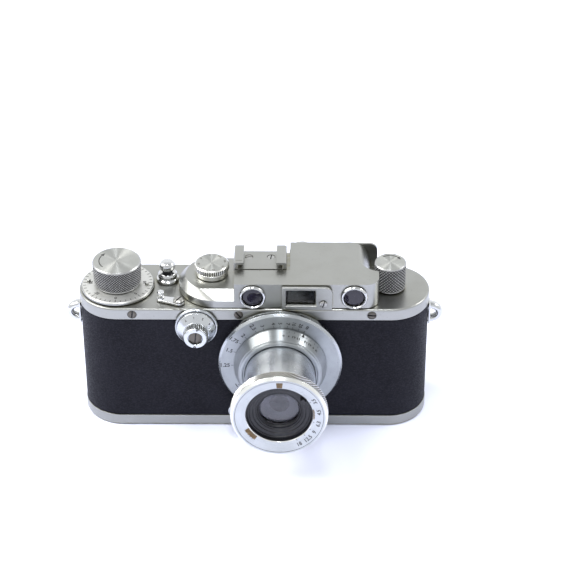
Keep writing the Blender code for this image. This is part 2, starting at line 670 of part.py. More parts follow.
def build_shutter():
    cylinder("curtain_roller", 3.0 * MM, INSIDE_BOTTOM, INSIDE_TOP, "steel", (ROLLER_X, 0, 0))
    low = 16.0 * MM
    high = 47.0 * MM
    thickness = 0.4 * MM
    for name, y in (("first_curtain", 8.1 * MM), ("second_curtain", 9.1 * MM)):
        box(name, (SPEED_X, y, low), (ROLLER_X, y + thickness, high), "curtain_cloth")
    box("pressure_plate", (-13 * MM, 11.9 * MM, low), (33 * MM, 12.7 * MM, high), "black_metal")


def build_rangefinder_arm():
    """Follower that rides on the back of the helicoid sleeve and turns as the lens is focused."""
    place = (ARM_PIVOT_X, ARM_PIVOT_Y, 0)
    roller_y = GAP + ARM_ROLLER - SLEEVE_BACK
    tip_x = LENS_X - ARM_PIVOT_X
    tip_y = roller_y - ARM_PIVOT_Y
    reach = math.hypot(tip_x, tip_y)
    angle = math.degrees(math.atan2(tip_y, tip_x))
    outline = turn_outline(arc((0, 0), 1.8 * MM, 90, 270, 8) + arc((reach, 0), 1.0 * MM, -90, 90, 6), angle)
    arm = prism("rangefinder_arm", outline, 47.2 * MM, 48.4 * MM, "steel", place)
    tip = (LENS_X, roller_y, 0)
    join(arm, cylinder("arm_roller", ARM_ROLLER, 45.6 * MM, 47.8 * MM, None, tip, UP, TINY))
    join(arm, cylinder("arm_pivot", 1.2 * MM, 46.4 * MM, 50.2 * MM, None, place, UP, TINY))


# ---------------------------------------------------------------- lens

def lens_ring(name, profile, finish, steps=FINE):
    return turned(name, profile, finish, (LENS_X, 0, LENS_Z), FORWARD, steps)


def build_lens_mount():
    ring = millimetres([(14.4, 12.9), (15.2, 12.9), (15.2, 15.6), (23.0, 15.6), (23.0, 16.4),
                        (22.7, 16.7), (14.4, 16.7)])
    lens_ring("lens_mount_ring", ring, "lens_chrome")
    flange = [
        (14.5 * MM, 17.0 * MM),
        (FLANGE_RADIUS - EDGE_CHAMFER, 17.0 * MM),
        (FLANGE_RADIUS, 17.0 * MM + EDGE_CHAMFER),
        (FLANGE_RADIUS, FLANGE_FACE - EDGE_CHAMFER),
        (FLANGE_RADIUS - EDGE_CHAMFER, FLANGE_FACE),
        (14.5 * MM, FLANGE_FACE),
    ]
    lens_ring("distance_flange", flange, "lens_chrome")


def build_focus():
    bore = TUBE_RADIUS + GAP
    sleeve = [
        (bore, SLEEVE_BACK),
        (SLEEVE_RADIUS, SLEEVE_BACK),
        (SLEEVE_RADIUS, FLANGE_FACE),
        (bore, FLANGE_FACE),
    ]
    lens_ring("helicoid_sleeve", sleeve, "brass")
    back = FLANGE_FACE + GAP
    cone = [
        (bore, back),
        (FOCUS_RADIUS, back),
        (FOCUS_RADIUS, back + 0.8 * MM),
        (15.7 * MM, FOCUS_FACE - 0.4 * MM),
        (15.3 * MM, FOCUS_FACE),
        (bore + 0.4 * MM, FOCUS_FACE),
        (bore, FOCUS_FACE - 0.4 * MM),
    ]
    ring = lens_ring("focus_ring", cone, "lens_chrome")
    place = (LENS_X, 0, LENS_Z)
    arm = turn_outline(bar(16 * MM, 25.5 * MM, 4.4 * MM), FOCUS_ARM_ANGLE)
    join(ring, prism("focus_arm", arm, back + 0.1 * MM, back + 1.5 * MM, None, place, FORWARD))
    x, z = turn_outline([(25.5 * MM, 0)], FOCUS_ARM_ANGLE)[0]
    knob = (LENS_X + x, 0, LENS_Z + z)
    boss = millimetres([(1.5, 19.8), (3.2, 19.8), (3.2, 22.6), (2.8, 23.0), (1.5, 23.0)])
    join(ring, turned("arm_boss", boss, None, knob, FORWARD, SMALL))
    drill(ring, 1.5 * MM, 19 * MM, 24 * MM, knob, FORWARD, SMALL)
    button = millimetres([(0, 20.9), (1.2, 20.9), (1.2, 24.3), (1.9, 24.9), (1.9, 25.3), (1.5, 25.6),
                          (0, 25.6)])
    turned("infinity_lock_button", button, "polished_chrome", knob, FORWARD, TINY)


def build_lens_tube():
    tube = [
        (TUBE_BORE, TUBE_BACK),
        (TUBE_RADIUS, TUBE_BACK),
        (TUBE_RADIUS, HEAD_BACK - GAP),
        (TUBE_BORE, HEAD_BACK - GAP),
    ]
    lens_ring("lens_tube", tube, "lens_chrome")
    head = [
        (HEAD_BORE, HEAD_BACK),
        (HEAD_RADIUS - 0.4 * MM, HEAD_BACK),
        (HEAD_RADIUS, HEAD_BACK + 0.4 * MM),
        (HEAD_RADIUS, HEAD_FACE - 1.1 * MM),
        (HEAD_RADIUS - 1.1 * MM, HEAD_FACE),
        (HEAD_BORE, HEAD_FACE),
    ]
    lens_ring("lens_head", head, "lens_chrome")
    ring = millimetres([(8.2, 46.5), (12.0, 46.5), (12.0, 48.5), (9.0, 48.1), (8.2, 47.5)])
    aperture = lens_ring("aperture_ring", ring, "black_metal", ROUND)
    tab = turn_outline(bar(10.4 * MM, 11.9 * MM, 1.8 * MM), APERTURE_TAB_ANGLE)
    join(aperture, prism("aperture_tab", tab, 47.5 * MM, 50.5 * MM, None, (LENS_X, 0, LENS_Z), FORWARD))


def build_optics():
    barrel = millimetres([(8.0, 31.5), (11.7, 31.5), (11.7, 45.9), (8.0, 45.9)])
    lens_ring("lens_barrel", barrel, "black_metal", ROUND)
    blades = millimetres([(3.2, 41.3), (7.7, 41.3), (7.7, 41.9), (3.2, 41.9)])
    lens_ring("iris", blades, "black_metal", SMALL)
    front = millimetres([(0, 43.5), (7.7, 43.5), (7.7, 45.5), (5.5, 46.3), (2.8, 46.8), (0, 47.0)])
    lens_ring("front_element", front, "lens_glass", SMALL)
    rear = millimetres([(0, 33.1), (3.0, 33.3), (5.5, 33.8), (7.7, 34.7), (7.7, 37.0), (0, 37.0)])
    lens_ring("rear_element", rear, "lens_glass", SMALL)


def main():
    clear_scene()
    build_shells()
    build_base_plate()
    build_base_lock()
    build_top_plate()
    build_strap_lugs()
    build_finder_housing()
    build_windows()
    build_viewfinder()
    build_eyepieces()
    build_accessory_shoe()
    build_wind()
    build_sprocket()
    build_rewind()
    build_release()
    build_reversing_lever()
    build_speed_dial()
    build_slow_dial()
    build_chassis()
    build_shutter()
    build_rangefinder_arm()
    build_lens_mount()
    build_focus()
    build_lens_tube()
    build_optics()


main()
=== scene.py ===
"""Looks of the rangefinder camera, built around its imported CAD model.

Shapes are modelled in millimetres in the model's own frame and scaled to metres when they are placed.
The lens looks along -Y and +Z is up. Sizes and places come from the CAD nodes' boxes.
"""

import json
import math

import bmesh
import bpy
from mathutils import Matrix, Vector

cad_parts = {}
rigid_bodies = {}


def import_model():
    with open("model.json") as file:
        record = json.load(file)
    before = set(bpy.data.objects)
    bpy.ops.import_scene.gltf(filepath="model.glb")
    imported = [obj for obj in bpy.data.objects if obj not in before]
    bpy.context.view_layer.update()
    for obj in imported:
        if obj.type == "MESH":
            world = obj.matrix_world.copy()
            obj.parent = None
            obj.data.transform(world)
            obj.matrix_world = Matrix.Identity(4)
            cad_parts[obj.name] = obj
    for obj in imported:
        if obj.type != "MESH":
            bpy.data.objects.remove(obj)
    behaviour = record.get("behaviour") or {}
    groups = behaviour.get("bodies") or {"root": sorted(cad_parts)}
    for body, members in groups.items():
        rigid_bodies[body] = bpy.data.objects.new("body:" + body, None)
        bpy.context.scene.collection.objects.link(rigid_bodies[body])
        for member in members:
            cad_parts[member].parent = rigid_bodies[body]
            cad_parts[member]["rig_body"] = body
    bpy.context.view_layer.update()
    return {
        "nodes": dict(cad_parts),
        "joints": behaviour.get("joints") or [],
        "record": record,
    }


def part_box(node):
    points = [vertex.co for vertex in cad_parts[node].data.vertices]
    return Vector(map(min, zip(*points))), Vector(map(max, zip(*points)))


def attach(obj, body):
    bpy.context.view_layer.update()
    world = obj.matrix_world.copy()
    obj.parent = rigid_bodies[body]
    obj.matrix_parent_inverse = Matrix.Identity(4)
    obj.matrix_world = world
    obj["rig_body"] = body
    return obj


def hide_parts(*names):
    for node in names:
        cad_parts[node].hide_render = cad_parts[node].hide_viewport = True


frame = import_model()

MM = 0.001
SMOOTH_STEPS = 96
SHARP_ANGLE = math.radians(34)
INK_HEIGHT = 0.03

# The camera's place and aim, and the lens that gives the view its perspective
CAMERA_PLACE = (0.0196, -0.6233, 0.4865)
CAMERA_AZIMUTH = -0.73
CAMERA_TILT = -34.65
CAMERA_ROLL = -0.21
CAMERA_LENS = 126.1
SENSOR = 36.0


# ---------------------------------------------------------------- frame

def box_mm(node):
    low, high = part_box(node)
    return low / MM, high / MM


def seat(node, facing):
    """Centre across the axis, radius, and lowest and highest place along the axis of a turned node."""
    low, high = box_mm(node)
    middle = (low + high) / 2
    radius = (high.x - low.x) / 2
    if facing in ("up", "down"):
        return (middle.x, middle.y), radius, low.z, high.z
    if facing == "forward":
        return (middle.x, middle.z), radius, -high.y, -low.y
    return (middle.x, middle.z), radius, low.y, high.y


def stand(centre, facing):
    """Matrix that puts a shape's own Z axis on a piece's axis."""
    if facing == "up":
        return Matrix.Translation((centre[0], centre[1], 0))
    if facing == "down":
        return Matrix.Translation((centre[0], centre[1], 0)) @ Matrix.Rotation(math.pi, 4, 'X')
    tilt = math.pi / 2 if facing == "forward" else -math.pi / 2
    return Matrix.Translation((centre[0], 0, centre[1])) @ Matrix.Rotation(tilt, 4, 'X')


def shift(x, y, z=0):
    return Matrix.Translation((x, y, z))


def spin(degrees):
    return Matrix.Rotation(math.radians(degrees), 4, 'Z')


def rim_spot(radius, degrees):
    """Matrix that moves a shape out from the axis, without turning it."""
    angle = math.radians(degrees)
    return shift(radius * math.cos(angle), radius * math.sin(angle))


SLOT_OF = {}
for entry in frame["record"]["subparts"]:
    SLOT_OF[entry["node"]] = entry["material_slot"]


def body_of(node):
    return frame["nodes"][node]["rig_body"]


# ---------------------------------------------------------------- shapes

def arc(centre, radius, start, end, steps):
    points = []
    for step in range(steps + 1):
        angle = math.radians(start + (end - start) * step / steps)
        points.append((centre[0] + radius * math.cos(angle), centre[1] + radius * math.sin(angle)))
    return points


def rounded(points, closed=False, steps=5):
    """Rounds each corner that has a third number, its radius."""
    result = []
    count = len(points)
    for i, point in enumerate(points):
        ends = not closed and i in (0, count - 1)
        if len(point) < 3 or ends:
            result.append(tuple(point[:2]))
            continue
        corner = Vector(point[:2])
        before = Vector(points[i - 1][:2]) - corner
        after = Vector(points[(i + 1) % count][:2]) - corner
        opening = before.angle(after)
        reach = point[2] / math.tan(opening / 2)
        reach = min(reach, 0.49 * before.length, 0.49 * after.length)
        first = corner + before.normalized() * reach
        last = corner + after.normalized() * reach
        for step in range(steps + 1):
            t = step / steps
            spot = first * (1 - t) ** 2 + corner * 2 * t * (1 - t) + last * t ** 2
            result.append((spot.x, spot.y))
    return result


def knurl(radius, low, high, depth, cell, style="diamond", flare=0.0):
    """Rows of a turned profile whose points alternate between ridge and valley.

    The foot is narrower than the top by the flare.
    """
    rows = 2 if style == "straight" else max(2, round(2 * (high - low) / cell)) + 1
    made = []
    for row in range(rows):
        height = low + (high - low) * row / (rows - 1)
        phase = row if style == "diamond" else 0
        twist = row if style == "slanted" else 0
        widen = flare * row / (rows - 1)
        made.append((radius - flare + widen, height, depth, phase, twist))
    return made


def turn(profile, steps=SMOOTH_STEPS, closed=False):
    """Solid of revolution about Z. A profile starts and ends on the axis, or is closed into a ring."""
    shape = bmesh.new()
    ridge = shape.verts.layers.float.new("ridge")
    rows = []
    for entry in profile:
        radius, height, depth, phase, twist = (*entry, 0, 0, 0)[:5]
        if radius < 1e-6:
            rows.append([shape.verts.new((0, 0, height))])
            rows[-1][0][ridge] = 1.0
            continue
        row = []
        for i in range(steps):
            angle = math.tau * (i + twist) / steps
            low = (i + phase) % 2 if depth else 0
            r = radius - depth * low
            vert = shape.verts.new((r * math.cos(angle), r * math.sin(angle), height))
            vert[ridge] = 1.0 - low
            row.append(vert)
        rows.append(row)
    pairs = list(zip(rows, rows[1:]))
    if closed:
        pairs.append((rows[-1], rows[0]))
    for near, far in pairs:
        bridge(shape, near, far, ridge)
    return shape


def cylinder(radius, low, high, steps):
    return turn([(0, low), (radius, low), (radius, high), (0, high)], steps)


def bridge(shape, near, far, ridge=None):
    """Faces between two rows of points, either of which may be a single point."""
    count = max(len(near), len(far))
    for i in range(count):
        j = (i + 1) % count
        if len(near) == 1:
            shape.faces.new((near[0], far[j], far[i]))
        elif len(far) == 1:
            shape.faces.new((near[i], near[j], far[0]))
        elif ridge and near[i][ridge] + far[j][ridge] != near[j][ridge] + far[i][ridge]:
            if near[i][ridge] + far[j][ridge] < near[j][ridge] + far[i][ridge]:
                shape.faces.new((near[i], near[j], far[j]))
                shape.faces.new((near[i], far[j], far[i]))
            else:
                shape.faces.new((near[i], near[j], far[i]))
                shape.faces.new((near[j], far[j], far[i]))
        else:
            shape.faces.new((near[i], near[j], far[j], far[i]))


def loft(loops, closed=False):
    """Solid through loops of points, capped at both ends unless it closes on itself."""
    shape = bmesh.new()
    rows = [[shape.verts.new(point) for point in loop] for loop in loops]
    for near, far in zip(rows, rows[1:]):
        bridge(shape, near, far)
    if closed:
        bridge(shape, rows[-1], rows[0])
    else:
        shape.faces.new(list(reversed(rows[0])))
        shape.faces.new(rows[-1])
    return shape


def prism(outline, low, high):
    return loft([[(x, y, low) for x, y in outline], [(x, y, high) for x, y in outline]])


def block(low, high):
    outline = [(low[0], low[1]), (high[0], low[1]), (high[0], high[1]), (low[0], high[1])]
    return prism(outline, low[2], high[2])


def merge(*shapes):
    """One mesh of several shapes."""
    mesh = bpy.data.meshes.new("merged")
    result = bmesh.new()
    for shape in shapes:
        shape.to_mesh(mesh)
        result.from_mesh(mesh)
        shape.free()
    bpy.data.meshes.remove(mesh)
    return result


def temporary(shape):
    bmesh.ops.recalc_face_normals(shape, faces=shape.faces)
    mesh = bpy.data.meshes.new("temporary")
    shape.to_mesh(mesh)
    shape.free()
    item = bpy.data.objects.new("temporary", mesh)
    bpy.context.scene.collection.objects.link(item)
    return item


def settle(*items):
    """Evaluates the first object's modifiers into a new shape and removes all the objects."""
    bpy.context.view_layer.update()
    depsgraph = bpy.context.evaluated_depsgraph_get()
    result = bmesh.new()
    result.from_mesh(items[0].evaluated_get(depsgraph).to_mesh())
    for item in items:
        mesh = item.data
        bpy.data.objects.remove(item, do_unlink=True)
        bpy.data.meshes.remove(mesh)
    return result


def carve(shape, tool, operation='DIFFERENCE'):
    target = temporary(shape)
    cutter = temporary(tool)
    modifier = target.modifiers.new("carve", 'BOOLEAN')
    modifier.operation = operation
    modifier.solver = 'EXACT'
    modifier.object = cutter
    return settle(target, cutter)


def fuse(shape, tool):
    return carve(shape, tool, 'UNION')


def soften(shape, width, segments=3, angle=30):
    """Rounds the edges that are sharper than an angle."""
    bmesh.ops.remove_doubles(shape, verts=shape.verts, dist=1e-4)
    bmesh.ops.dissolve_limit(shape, angle_limit=math.radians(0.6), verts=shape.verts, edges=shape.edges)
    item = temporary(shape)
    modifier = item.modifiers.new("soften", 'BEVEL')
    modifier.width = width
    modifier.segments = segments
    modifier.limit_method = 'ANGLE'
    modifier.angle_limit = math.radians(angle)
    modifier.use_clamp_overlap = True
    modifier.miter_outer = 'MITER_ARC'
    return settle(item)


def moved(shape, matrix):
    bmesh.ops.transform(shape, matrix=matrix, verts=shape.verts)
    return shape


def tube(points, radius, sides=16, squash=1.0):
    """Bar of round section along a closed path in the XZ plane. Squash flattens it across Y."""
    shape = bmesh.new()
    count = len(points)
    rows = []
    for i, point in enumerate(points):
        before = Vector(points[i - 1])
        after = Vector(points[(i + 1) % count])
        run = (after - before).normalized()
        side = Vector((run.y, -run.x))
        row = []
        for step in range(sides):
            angle = math.tau * step / sides
            spot = Vector(point) + side * (radius * math.cos(angle))
            row.append(shape.verts.new((spot.x, radius * squash * math.sin(angle), spot.y)))
        rows.append(row)
    for near, far in zip(rows, rows[1:] + rows[:1]):
        bridge(shape, near, far)
    return shape


# ---------------------------------------------------------------- engraving

def lettering(text, size):
    """Closed solid of a word, centred, thin along Z."""
    curve = bpy.data.curves.new("lettering", 'FONT')
    curve.body = text
    curve.size = size
    curve.extrude = INK_HEIGHT
    curve.offset = 0.022 * size
    curve.align_x = 'CENTER'
    curve.align_y = 'CENTER'
    curve.resolution_u = 3
    item = bpy.data.objects.new("lettering", curve)
    bpy.context.scene.collection.objects.link(item)
    bpy.context.view_layer.update()
    mesh = bpy.data.meshes.new_from_object(item.evaluated_get(bpy.context.evaluated_depsgraph_get()))
    shape = bmesh.new()
    shape.from_mesh(mesh)
    bpy.data.objects.remove(item, do_unlink=True)
    bpy.data.curves.remove(curve)
    bpy.data.meshes.remove(mesh)
    bmesh.ops.remove_doubles(shape, verts=shape.verts, dist=1e-4)
    return shape


def stroke(length, width, parts=1):
    """Thin bar along X, in short parts so that it can be bent round a piece."""
    loops = []
    for part in range(parts + 1):
        x = length * (part / parts - 0.5)
        loops.append([(x, -width / 2, -INK_HEIGHT), (x, width / 2, -INK_HEIGHT),
                      (x, width / 2, INK_HEIGHT), (x, -width / 2, INK_HEIGHT)])
    return loft(loops)


def wedge(length, width):
    """Thin triangle that points along +X."""
    return prism([(0, -width / 2), (length, 0), (0, width / 2)], -INK_HEIGHT, INK_HEIGHT)


def tick(low, high, width):
    return moved(stroke(high - low, width), Matrix.Translation((0, (low + high) / 2, 0))
                 @ spin(90))


def inscribe(shape, degrees, radius, height, slope=0.0, radial=False):
    """Wraps a flat mark on a turned surface, with its up side inwards, or its reading side if radial.

    Slope is the angle at which the surface rises towards the axis: 0 on a face, 90 on a cylinder.
    """
    lean = math.radians(slope)
    for vert in shape.verts:
        x, y, z = vert.co
        if radial:
            x, y = -y, x
        r = radius - y * math.cos(lean) + z * math.sin(lean)
        angle = math.radians(degrees) + x / radius
        rise = height + y * math.sin(lean) + z * math.cos(lean)
        vert.co = (r * math.cos(angle), r * math.sin(angle), rise)
    return shape


def patch(inner, outer, start, end, height_at):
    """Ragged part of a ring where the plating has worn through."""
    outline = []
    for step in range(25):
        wobble = 0.22 * math.sin(step * 2.4) + 0.12 * math.sin(step * 5.1)
        outline.append((outer + wobble, start + (end - start) * step / 24))
    for step in range(24, -1, -1):
        wobble = 0.15 * math.sin(step * 1.9)
        outline.append((inner + wobble, start + (end - start) * step / 24))
    loops = []
    for lift in (-INK_HEIGHT, INK_HEIGHT):
        loops.append([(reach * math.cos(math.radians(a)), reach * math.sin(math.radians(a)),
                       height_at(reach) + lift) for reach, a in outline])
    return loft(loops)


def curved_arrow(radius, height, start, end, width):
    """Engraved arc with an arrowhead at its end, on a face."""
    sweep = math.radians(end - start)
    length = abs(sweep) * radius
    line = inscribe(stroke(length, width, 16), (start + end) / 2, radius, height)
    head = wedge(5 * width, 4 * width)
    if end < start:
        head = moved(head, spin(180))
    return merge(line, inscribe(head, end, radius, height))


# ---------------------------------------------------------------- materials

def new_node(tree, kind, inputs=None, **settings):
    made = tree.nodes.new(kind)
    for key, value in settings.items():
        setattr(made, key, value)
    for key, value in (inputs or {}).items():
        if isinstance(value, bpy.types.NodeSocket):
            tree.links.new(value, made.inputs[key])
        else:
            made.inputs[key].default_value = value
    return made


def start_material(name):
    material = bpy.data.materials.new(name)
    material.use_nodes = True
    tree = material.node_tree
    return material, tree, tree.nodes["Principled BSDF"]


def noise(tree, vector, scale, detail=3.0, roughness=0.55, stretch=None):
    if stretch:
        vector = new_node(tree, "ShaderNodeMapping", {0: vector, 3: stretch}).outputs[0]
    made = new_node(tree, "ShaderNodeTexNoise", {"Vector": vector, "Scale": scale, "Detail": detail,
                                                "Roughness": roughness})
    return made.outputs["Fac"]


def ramp(tree, value, low, high, first=0.0, last=1.0):
    made = new_node(tree, "ShaderNodeMapRange", {0: value, 1: low, 2: high, 3: first, 4: last},
                    clamp=True)
    return made.outputs[0]


def blend_colour(tree, factor, first, second):
    made = new_node(tree, "ShaderNodeMix", data_type='RGBA')
    for socket, value in ((made.inputs[0], factor), (made.inputs[6], first), (made.inputs[7], second)):
        if isinstance(value, bpy.types.NodeSocket):
            tree.links.new(value, socket)
        elif isinstance(value, tuple):
            socket.default_value = (*value, 1.0)
        else:
            socket.default_value = value
    return made.outputs[2]


def compute(tree, operation, first, second=0.0):
    return new_node(tree, "ShaderNodeMath", {0: first, 1: second}, operation=operation).outputs[0]


def add_bump(tree, shader, height, strength, distance):
    bump = new_node(tree, "ShaderNodeBump", {"Height": height, "Strength": strength,
                                            "Distance": distance * MM})
    tree.links.new(bump.outputs[0], shader.inputs["Normal"])


def object_place(tree):
    return new_node(tree, "ShaderNodeTexCoord").outputs["Object"]


def plated_metal(name, colour, stain, roughness, grain, scratches, grime=0.0):
    """Chrome plate: clouded tone, fine satin grain, hair scratches, and grime in the corners."""
    material, tree, shader = start_material(name)
    place = object_place(tree)
    clouds = noise(tree, place, 90, 4.0)
    tone = blend_colour(tree, ramp(tree, clouds, 0.42, 0.72), colour, stain)
    hair = noise(tree, place, 900, 2.0, stretch=(0.25, 6.0, 6.0))
    cross = noise(tree, place, 700, 2.0, stretch=(5.0, 0.3, 5.0))
    lines = compute(tree, 'MAXIMUM', ramp(tree, hair, 0.66, 0.72), ramp(tree, cross, 0.68, 0.74))
    lines = compute(tree, 'MULTIPLY', lines, scratches)
    specks = ramp(tree, noise(tree, place, 1600, 1.0), 0.70, 0.76)
    dulled = tuple(0.55 * c for c in stain)
    tone = blend_colour(tree, compute(tree, 'MULTIPLY', specks, 0.35), tone, dulled)
    if grime:
        corner = new_node(tree, "ShaderNodeAmbientOcclusion", {"Distance": 2.2 * MM}, samples=6)
        dirty = ramp(tree, corner.outputs["AO"], 0.72, 0.28)
        broken = ramp(tree, noise(tree, place, 420, 3.0), 0.30, 0.62)
        dirty = compute(tree, 'MULTIPLY', compute(tree, 'MULTIPLY', dirty, broken), grime)
        tone = blend_colour(tree, dirty, tone, (0.23, 0.21, 0.11))
    tree.links.new(tone, shader.inputs["Base Color"])
    rough = ramp(tree, noise(tree, place, 260, 3.0), 0.35, 0.70, roughness * 0.95, roughness * 1.06)
    rough = compute(tree, 'ADD', rough, compute(tree, 'MULTIPLY', lines, 0.10))
    tree.links.new(rough, shader.inputs["Roughness"])
    shader.inputs["Metallic"].default_value = 1.0
    fine = noise(tree, place, 5200, 2.0)
    height = compute(tree, 'SUBTRACT', fine, compute(tree, 'MULTIPLY', lines, 0.8))
    add_bump(tree, shader, height, grain, 0.012)
    return material


def turned_metal(name, colour, stain, roughness, axis, streak=0.75, grain=0.25):
    """Metal faced on a lathe: fine rings round the axis, which draw its highlights into rays."""
    material, tree, shader = start_material(name)
    coords = new_node(tree, "ShaderNodeTexCoord")
    place = coords.outputs["Object"]
    centred = new_node(tree, "ShaderNodeVectorMath", {0: coords.outputs["Generated"], 1: (0.5, 0.5, 0.5)},
                       operation='SUBTRACT').outputs[0]
    flat = (1.0, 1.0, 0.0) if axis == 'Z' else (1.0, 0.0, 1.0)
    centred = new_node(tree, "ShaderNodeVectorMath", {0: centred, 1: flat},
                       operation='MULTIPLY').outputs[0]
    reach = new_node(tree, "ShaderNodeVectorMath", {0: centred}, operation='LENGTH').outputs["Value"]
    rings = new_node(tree, "ShaderNodeTexNoise", {"W": reach, "Scale": 260.0, "Detail": 3.0},
                     noise_dimensions='1D').outputs["Fac"]
    clouds = noise(tree, place, 160, 4.0)
    tone = blend_colour(tree, ramp(tree, clouds, 0.42, 0.72), colour, stain)
    dulled = tuple(0.62 * c for c in stain)
    tone = blend_colour(tree, ramp(tree, rings, 0.60, 0.80, 0.0, 0.45), tone, dulled)
    specks = ramp(tree, noise(tree, place, 1500, 1.0), 0.69, 0.76, 0.0, 0.5)
    tone = blend_colour(tree, specks, tone, dulled)
    tree.links.new(tone, shader.inputs["Base Color"])
    rough = ramp(tree, rings, 0.3, 0.7, roughness * 0.85, roughness * 1.2)
    tree.links.new(rough, shader.inputs["Roughness"])
    shader.inputs["Metallic"].default_value = 1.0
    shader.inputs["Anisotropic"].default_value = streak
    shader.inputs["Anisotropic Rotation"].default_value = 0.25
    tangent = new_node(tree, "ShaderNodeTangent", direction_type='RADIAL', axis=axis)
    tree.links.new(tangent.outputs[0], shader.inputs["Tangent"])
    height = compute(tree, 'ADD', rings, compute(tree, 'MULTIPLY', noise(tree, place, 5000, 1.0), 0.4))
    add_bump(tree, shader, height, grain, 0.01)
    return material


def knurled_metal(name, tip, valley, roughness, floor=0.10):
    """Knurling: plated tips over valleys painted dark, partly dirt and partly painted shade."""
    material, tree, shader = start_material(name)
    place = object_place(tree)
    ridge = new_node(tree, "ShaderNodeAttribute", attribute_name="ridge").outputs["Fac"]
    uneven = compute(tree, 'MULTIPLY', noise(tree, place, 900, 3.0), 0.35)
    height = compute(tree, 'ADD', ridge, compute(tree, 'SUBTRACT', uneven, 0.175))
    # The valleys get a near-black colour: dirt, together with painted shade where the knurl's hollows fall
    # dark.
    tone = blend_colour(tree, ramp(tree, height, floor, floor + 0.52), valley, tip)
    tree.links.new(tone, shader.inputs["Base Color"])
    tree.links.new(ramp(tree, height, 0.0, 0.8, roughness + 0.25, roughness), shader.inputs["Roughness"])
    tree.links.new(ramp(tree, height, 0.0, 0.5, 0.55, 1.0), shader.inputs["Metallic"])
    add_bump(tree, shader, noise(tree, place, 4200, 2.0), 0.25, 0.01)
    return material


def vulcanite(name):
    """Hard rubber covering: fine leather grain, bluish black, with worn shiny tops."""
    material, tree, shader = start_material(name)
    place = object_place(tree)
    warp = new_node(tree, "ShaderNodeMapping", {0: place, 3: (1.0, 1.0, 1.5)}).outputs[0]
    drift = new_node(tree, "ShaderNodeTexNoise", {"Vector": warp, "Scale": 900.0, "Detail": 2.0})
    shifted = new_node(tree, "ShaderNodeVectorMath", {0: drift.outputs["Color"], 1: (0.0009,) * 3},
                       operation='MULTIPLY').outputs[0]
    warp = new_node(tree, "ShaderNodeVectorMath", {0: warp, 1: shifted}, operation='ADD').outputs[0]
    pebbles = new_node(tree, "ShaderNodeTexVoronoi", {"Vector": warp, "Scale": 1500.0},
                       feature='SMOOTH_F1').outputs["Distance"]
    fine = noise(tree, place, 4800, 3.0)
    bumps = compute(tree, 'SUBTRACT', compute(tree, 'MULTIPLY', fine, 0.35), pebbles)
    clouds = noise(tree, place, 55, 4.0)
    tone = blend_colour(tree, ramp(tree, clouds, 0.35, 0.70), (0.0025, 0.0025, 0.006),
                        (0.006, 0.006, 0.011))
    tone = blend_colour(tree, ramp(tree, pebbles, 0.45, 0.12, 0.0, 0.5), tone, (0.012, 0.012, 0.020))
    tree.links.new(tone, shader.inputs["Base Color"])
    tree.links.new(ramp(tree, pebbles, 0.1, 0.6, 0.46, 0.68), shader.inputs["Roughness"])
    shader.inputs["Specular IOR Level"].default_value = 0.17
    add_bump(tree, shader, bumps, 0.55, 0.09)
    return material


def paint(name, colour, roughness, metallic=0.0, speckle=0.3):
    """Paint or blackening, uneven and slightly worn."""
    material, tree, shader = start_material(name)
    place = object_place(tree)
    worn = tuple(min(1.0, c * 2.2 + 0.03) for c in colour)
    patches = ramp(tree, noise(tree, place, 700, 4.0), 0.52, 0.74, 0.0, speckle)
    tree.links.new(blend_colour(tree, patches, colour, worn), shader.inputs["Base Color"])
    rough = ramp(tree, noise(tree, place, 1400, 2.0), 0.3, 0.7, roughness * 0.85, roughness * 1.15)
    tree.links.new(rough, shader.inputs["Roughness"])
    shader.inputs["Metallic"].default_value = metallic
    add_bump(tree, shader, noise(tree, place, 3600, 2.0), 0.25, 0.01)
    return material


def curtain_cloth(name):
    """Rubberised silk of the shutter curtains, with its fine weave."""
    material, tree, shader = start_material(name)
    place = object_place(tree)
    warp = new_node(tree, "ShaderNodeTexWave", {"Vector": place, "Scale": 900.0}, bands_direction='X')
    weft = new_node(tree, "ShaderNodeTexWave", {"Vector": place, "Scale": 900.0}, bands_direction='Z')
    weave = compute(tree, 'MULTIPLY', warp.outputs["Fac"], weft.outputs["Fac"])
    tree.links.new(blend_colour(tree, weave, (0.010, 0.010, 0.010), (0.030, 0.030, 0.031)),
                   shader.inputs["Base Color"])
    shader.inputs["Roughness"].default_value = 0.85
    add_bump(tree, shader, weave, 0.4, 0.03)
    return material


def glass(name, tint, roughness=0.02, see_through=1.0):
    """Optical glass with a trace of dust and haze."""
    material, tree, shader = start_material(name)
    place = object_place(tree)
    haze = ramp(tree, noise(tree, place, 350, 4.0), 0.45, 0.85, roughness, roughness + 0.10)
    tree.links.new(haze, shader.inputs["Roughness"])
    dusty = ramp(tree, noise(tree, place, 2600, 2.0), 0.70, 0.80, 0.0, 0.25)
    tree.links.new(blend_colour(tree, dusty, tint, (0.6, 0.6, 0.6)), shader.inputs["Base Color"])
    shader.inputs["IOR"].default_value = 1.52
    shader.inputs["Transmission Weight"].default_value = see_through
    return material


# Plated metals: colour, stain, roughness, grain, scratches and grime
PLATED = {
    "satin_chrome": ((0.345, 0.348, 0.333), (0.320, 0.322, 0.303), 0.33, 0.35, 0.5, 0.9),
    "polished_chrome": ((0.60, 0.61, 0.62), (0.50, 0.50, 0.49), 0.13, 0.08, 0.35, 0.5),
    "lens_chrome": ((0.46, 0.48, 0.50), (0.38, 0.40, 0.41), 0.25, 0.2, 0.5, 0.6),
    "dark_screw": ((0.13, 0.12, 0.105), (0.06, 0.055, 0.045), 0.36, 0.3, 0.8, 0.8),
    "steel": ((0.40, 0.40, 0.39), (0.30, 0.29, 0.26), 0.28, 0.2, 0.8),
    "brass": ((0.66, 0.49, 0.22), (0.48, 0.34, 0.14), 0.30, 0.2, 0.7),
    "alloy": ((0.46, 0.46, 0.47), (0.38, 0.38, 0.38), 0.52, 0.5, 0.4),
}

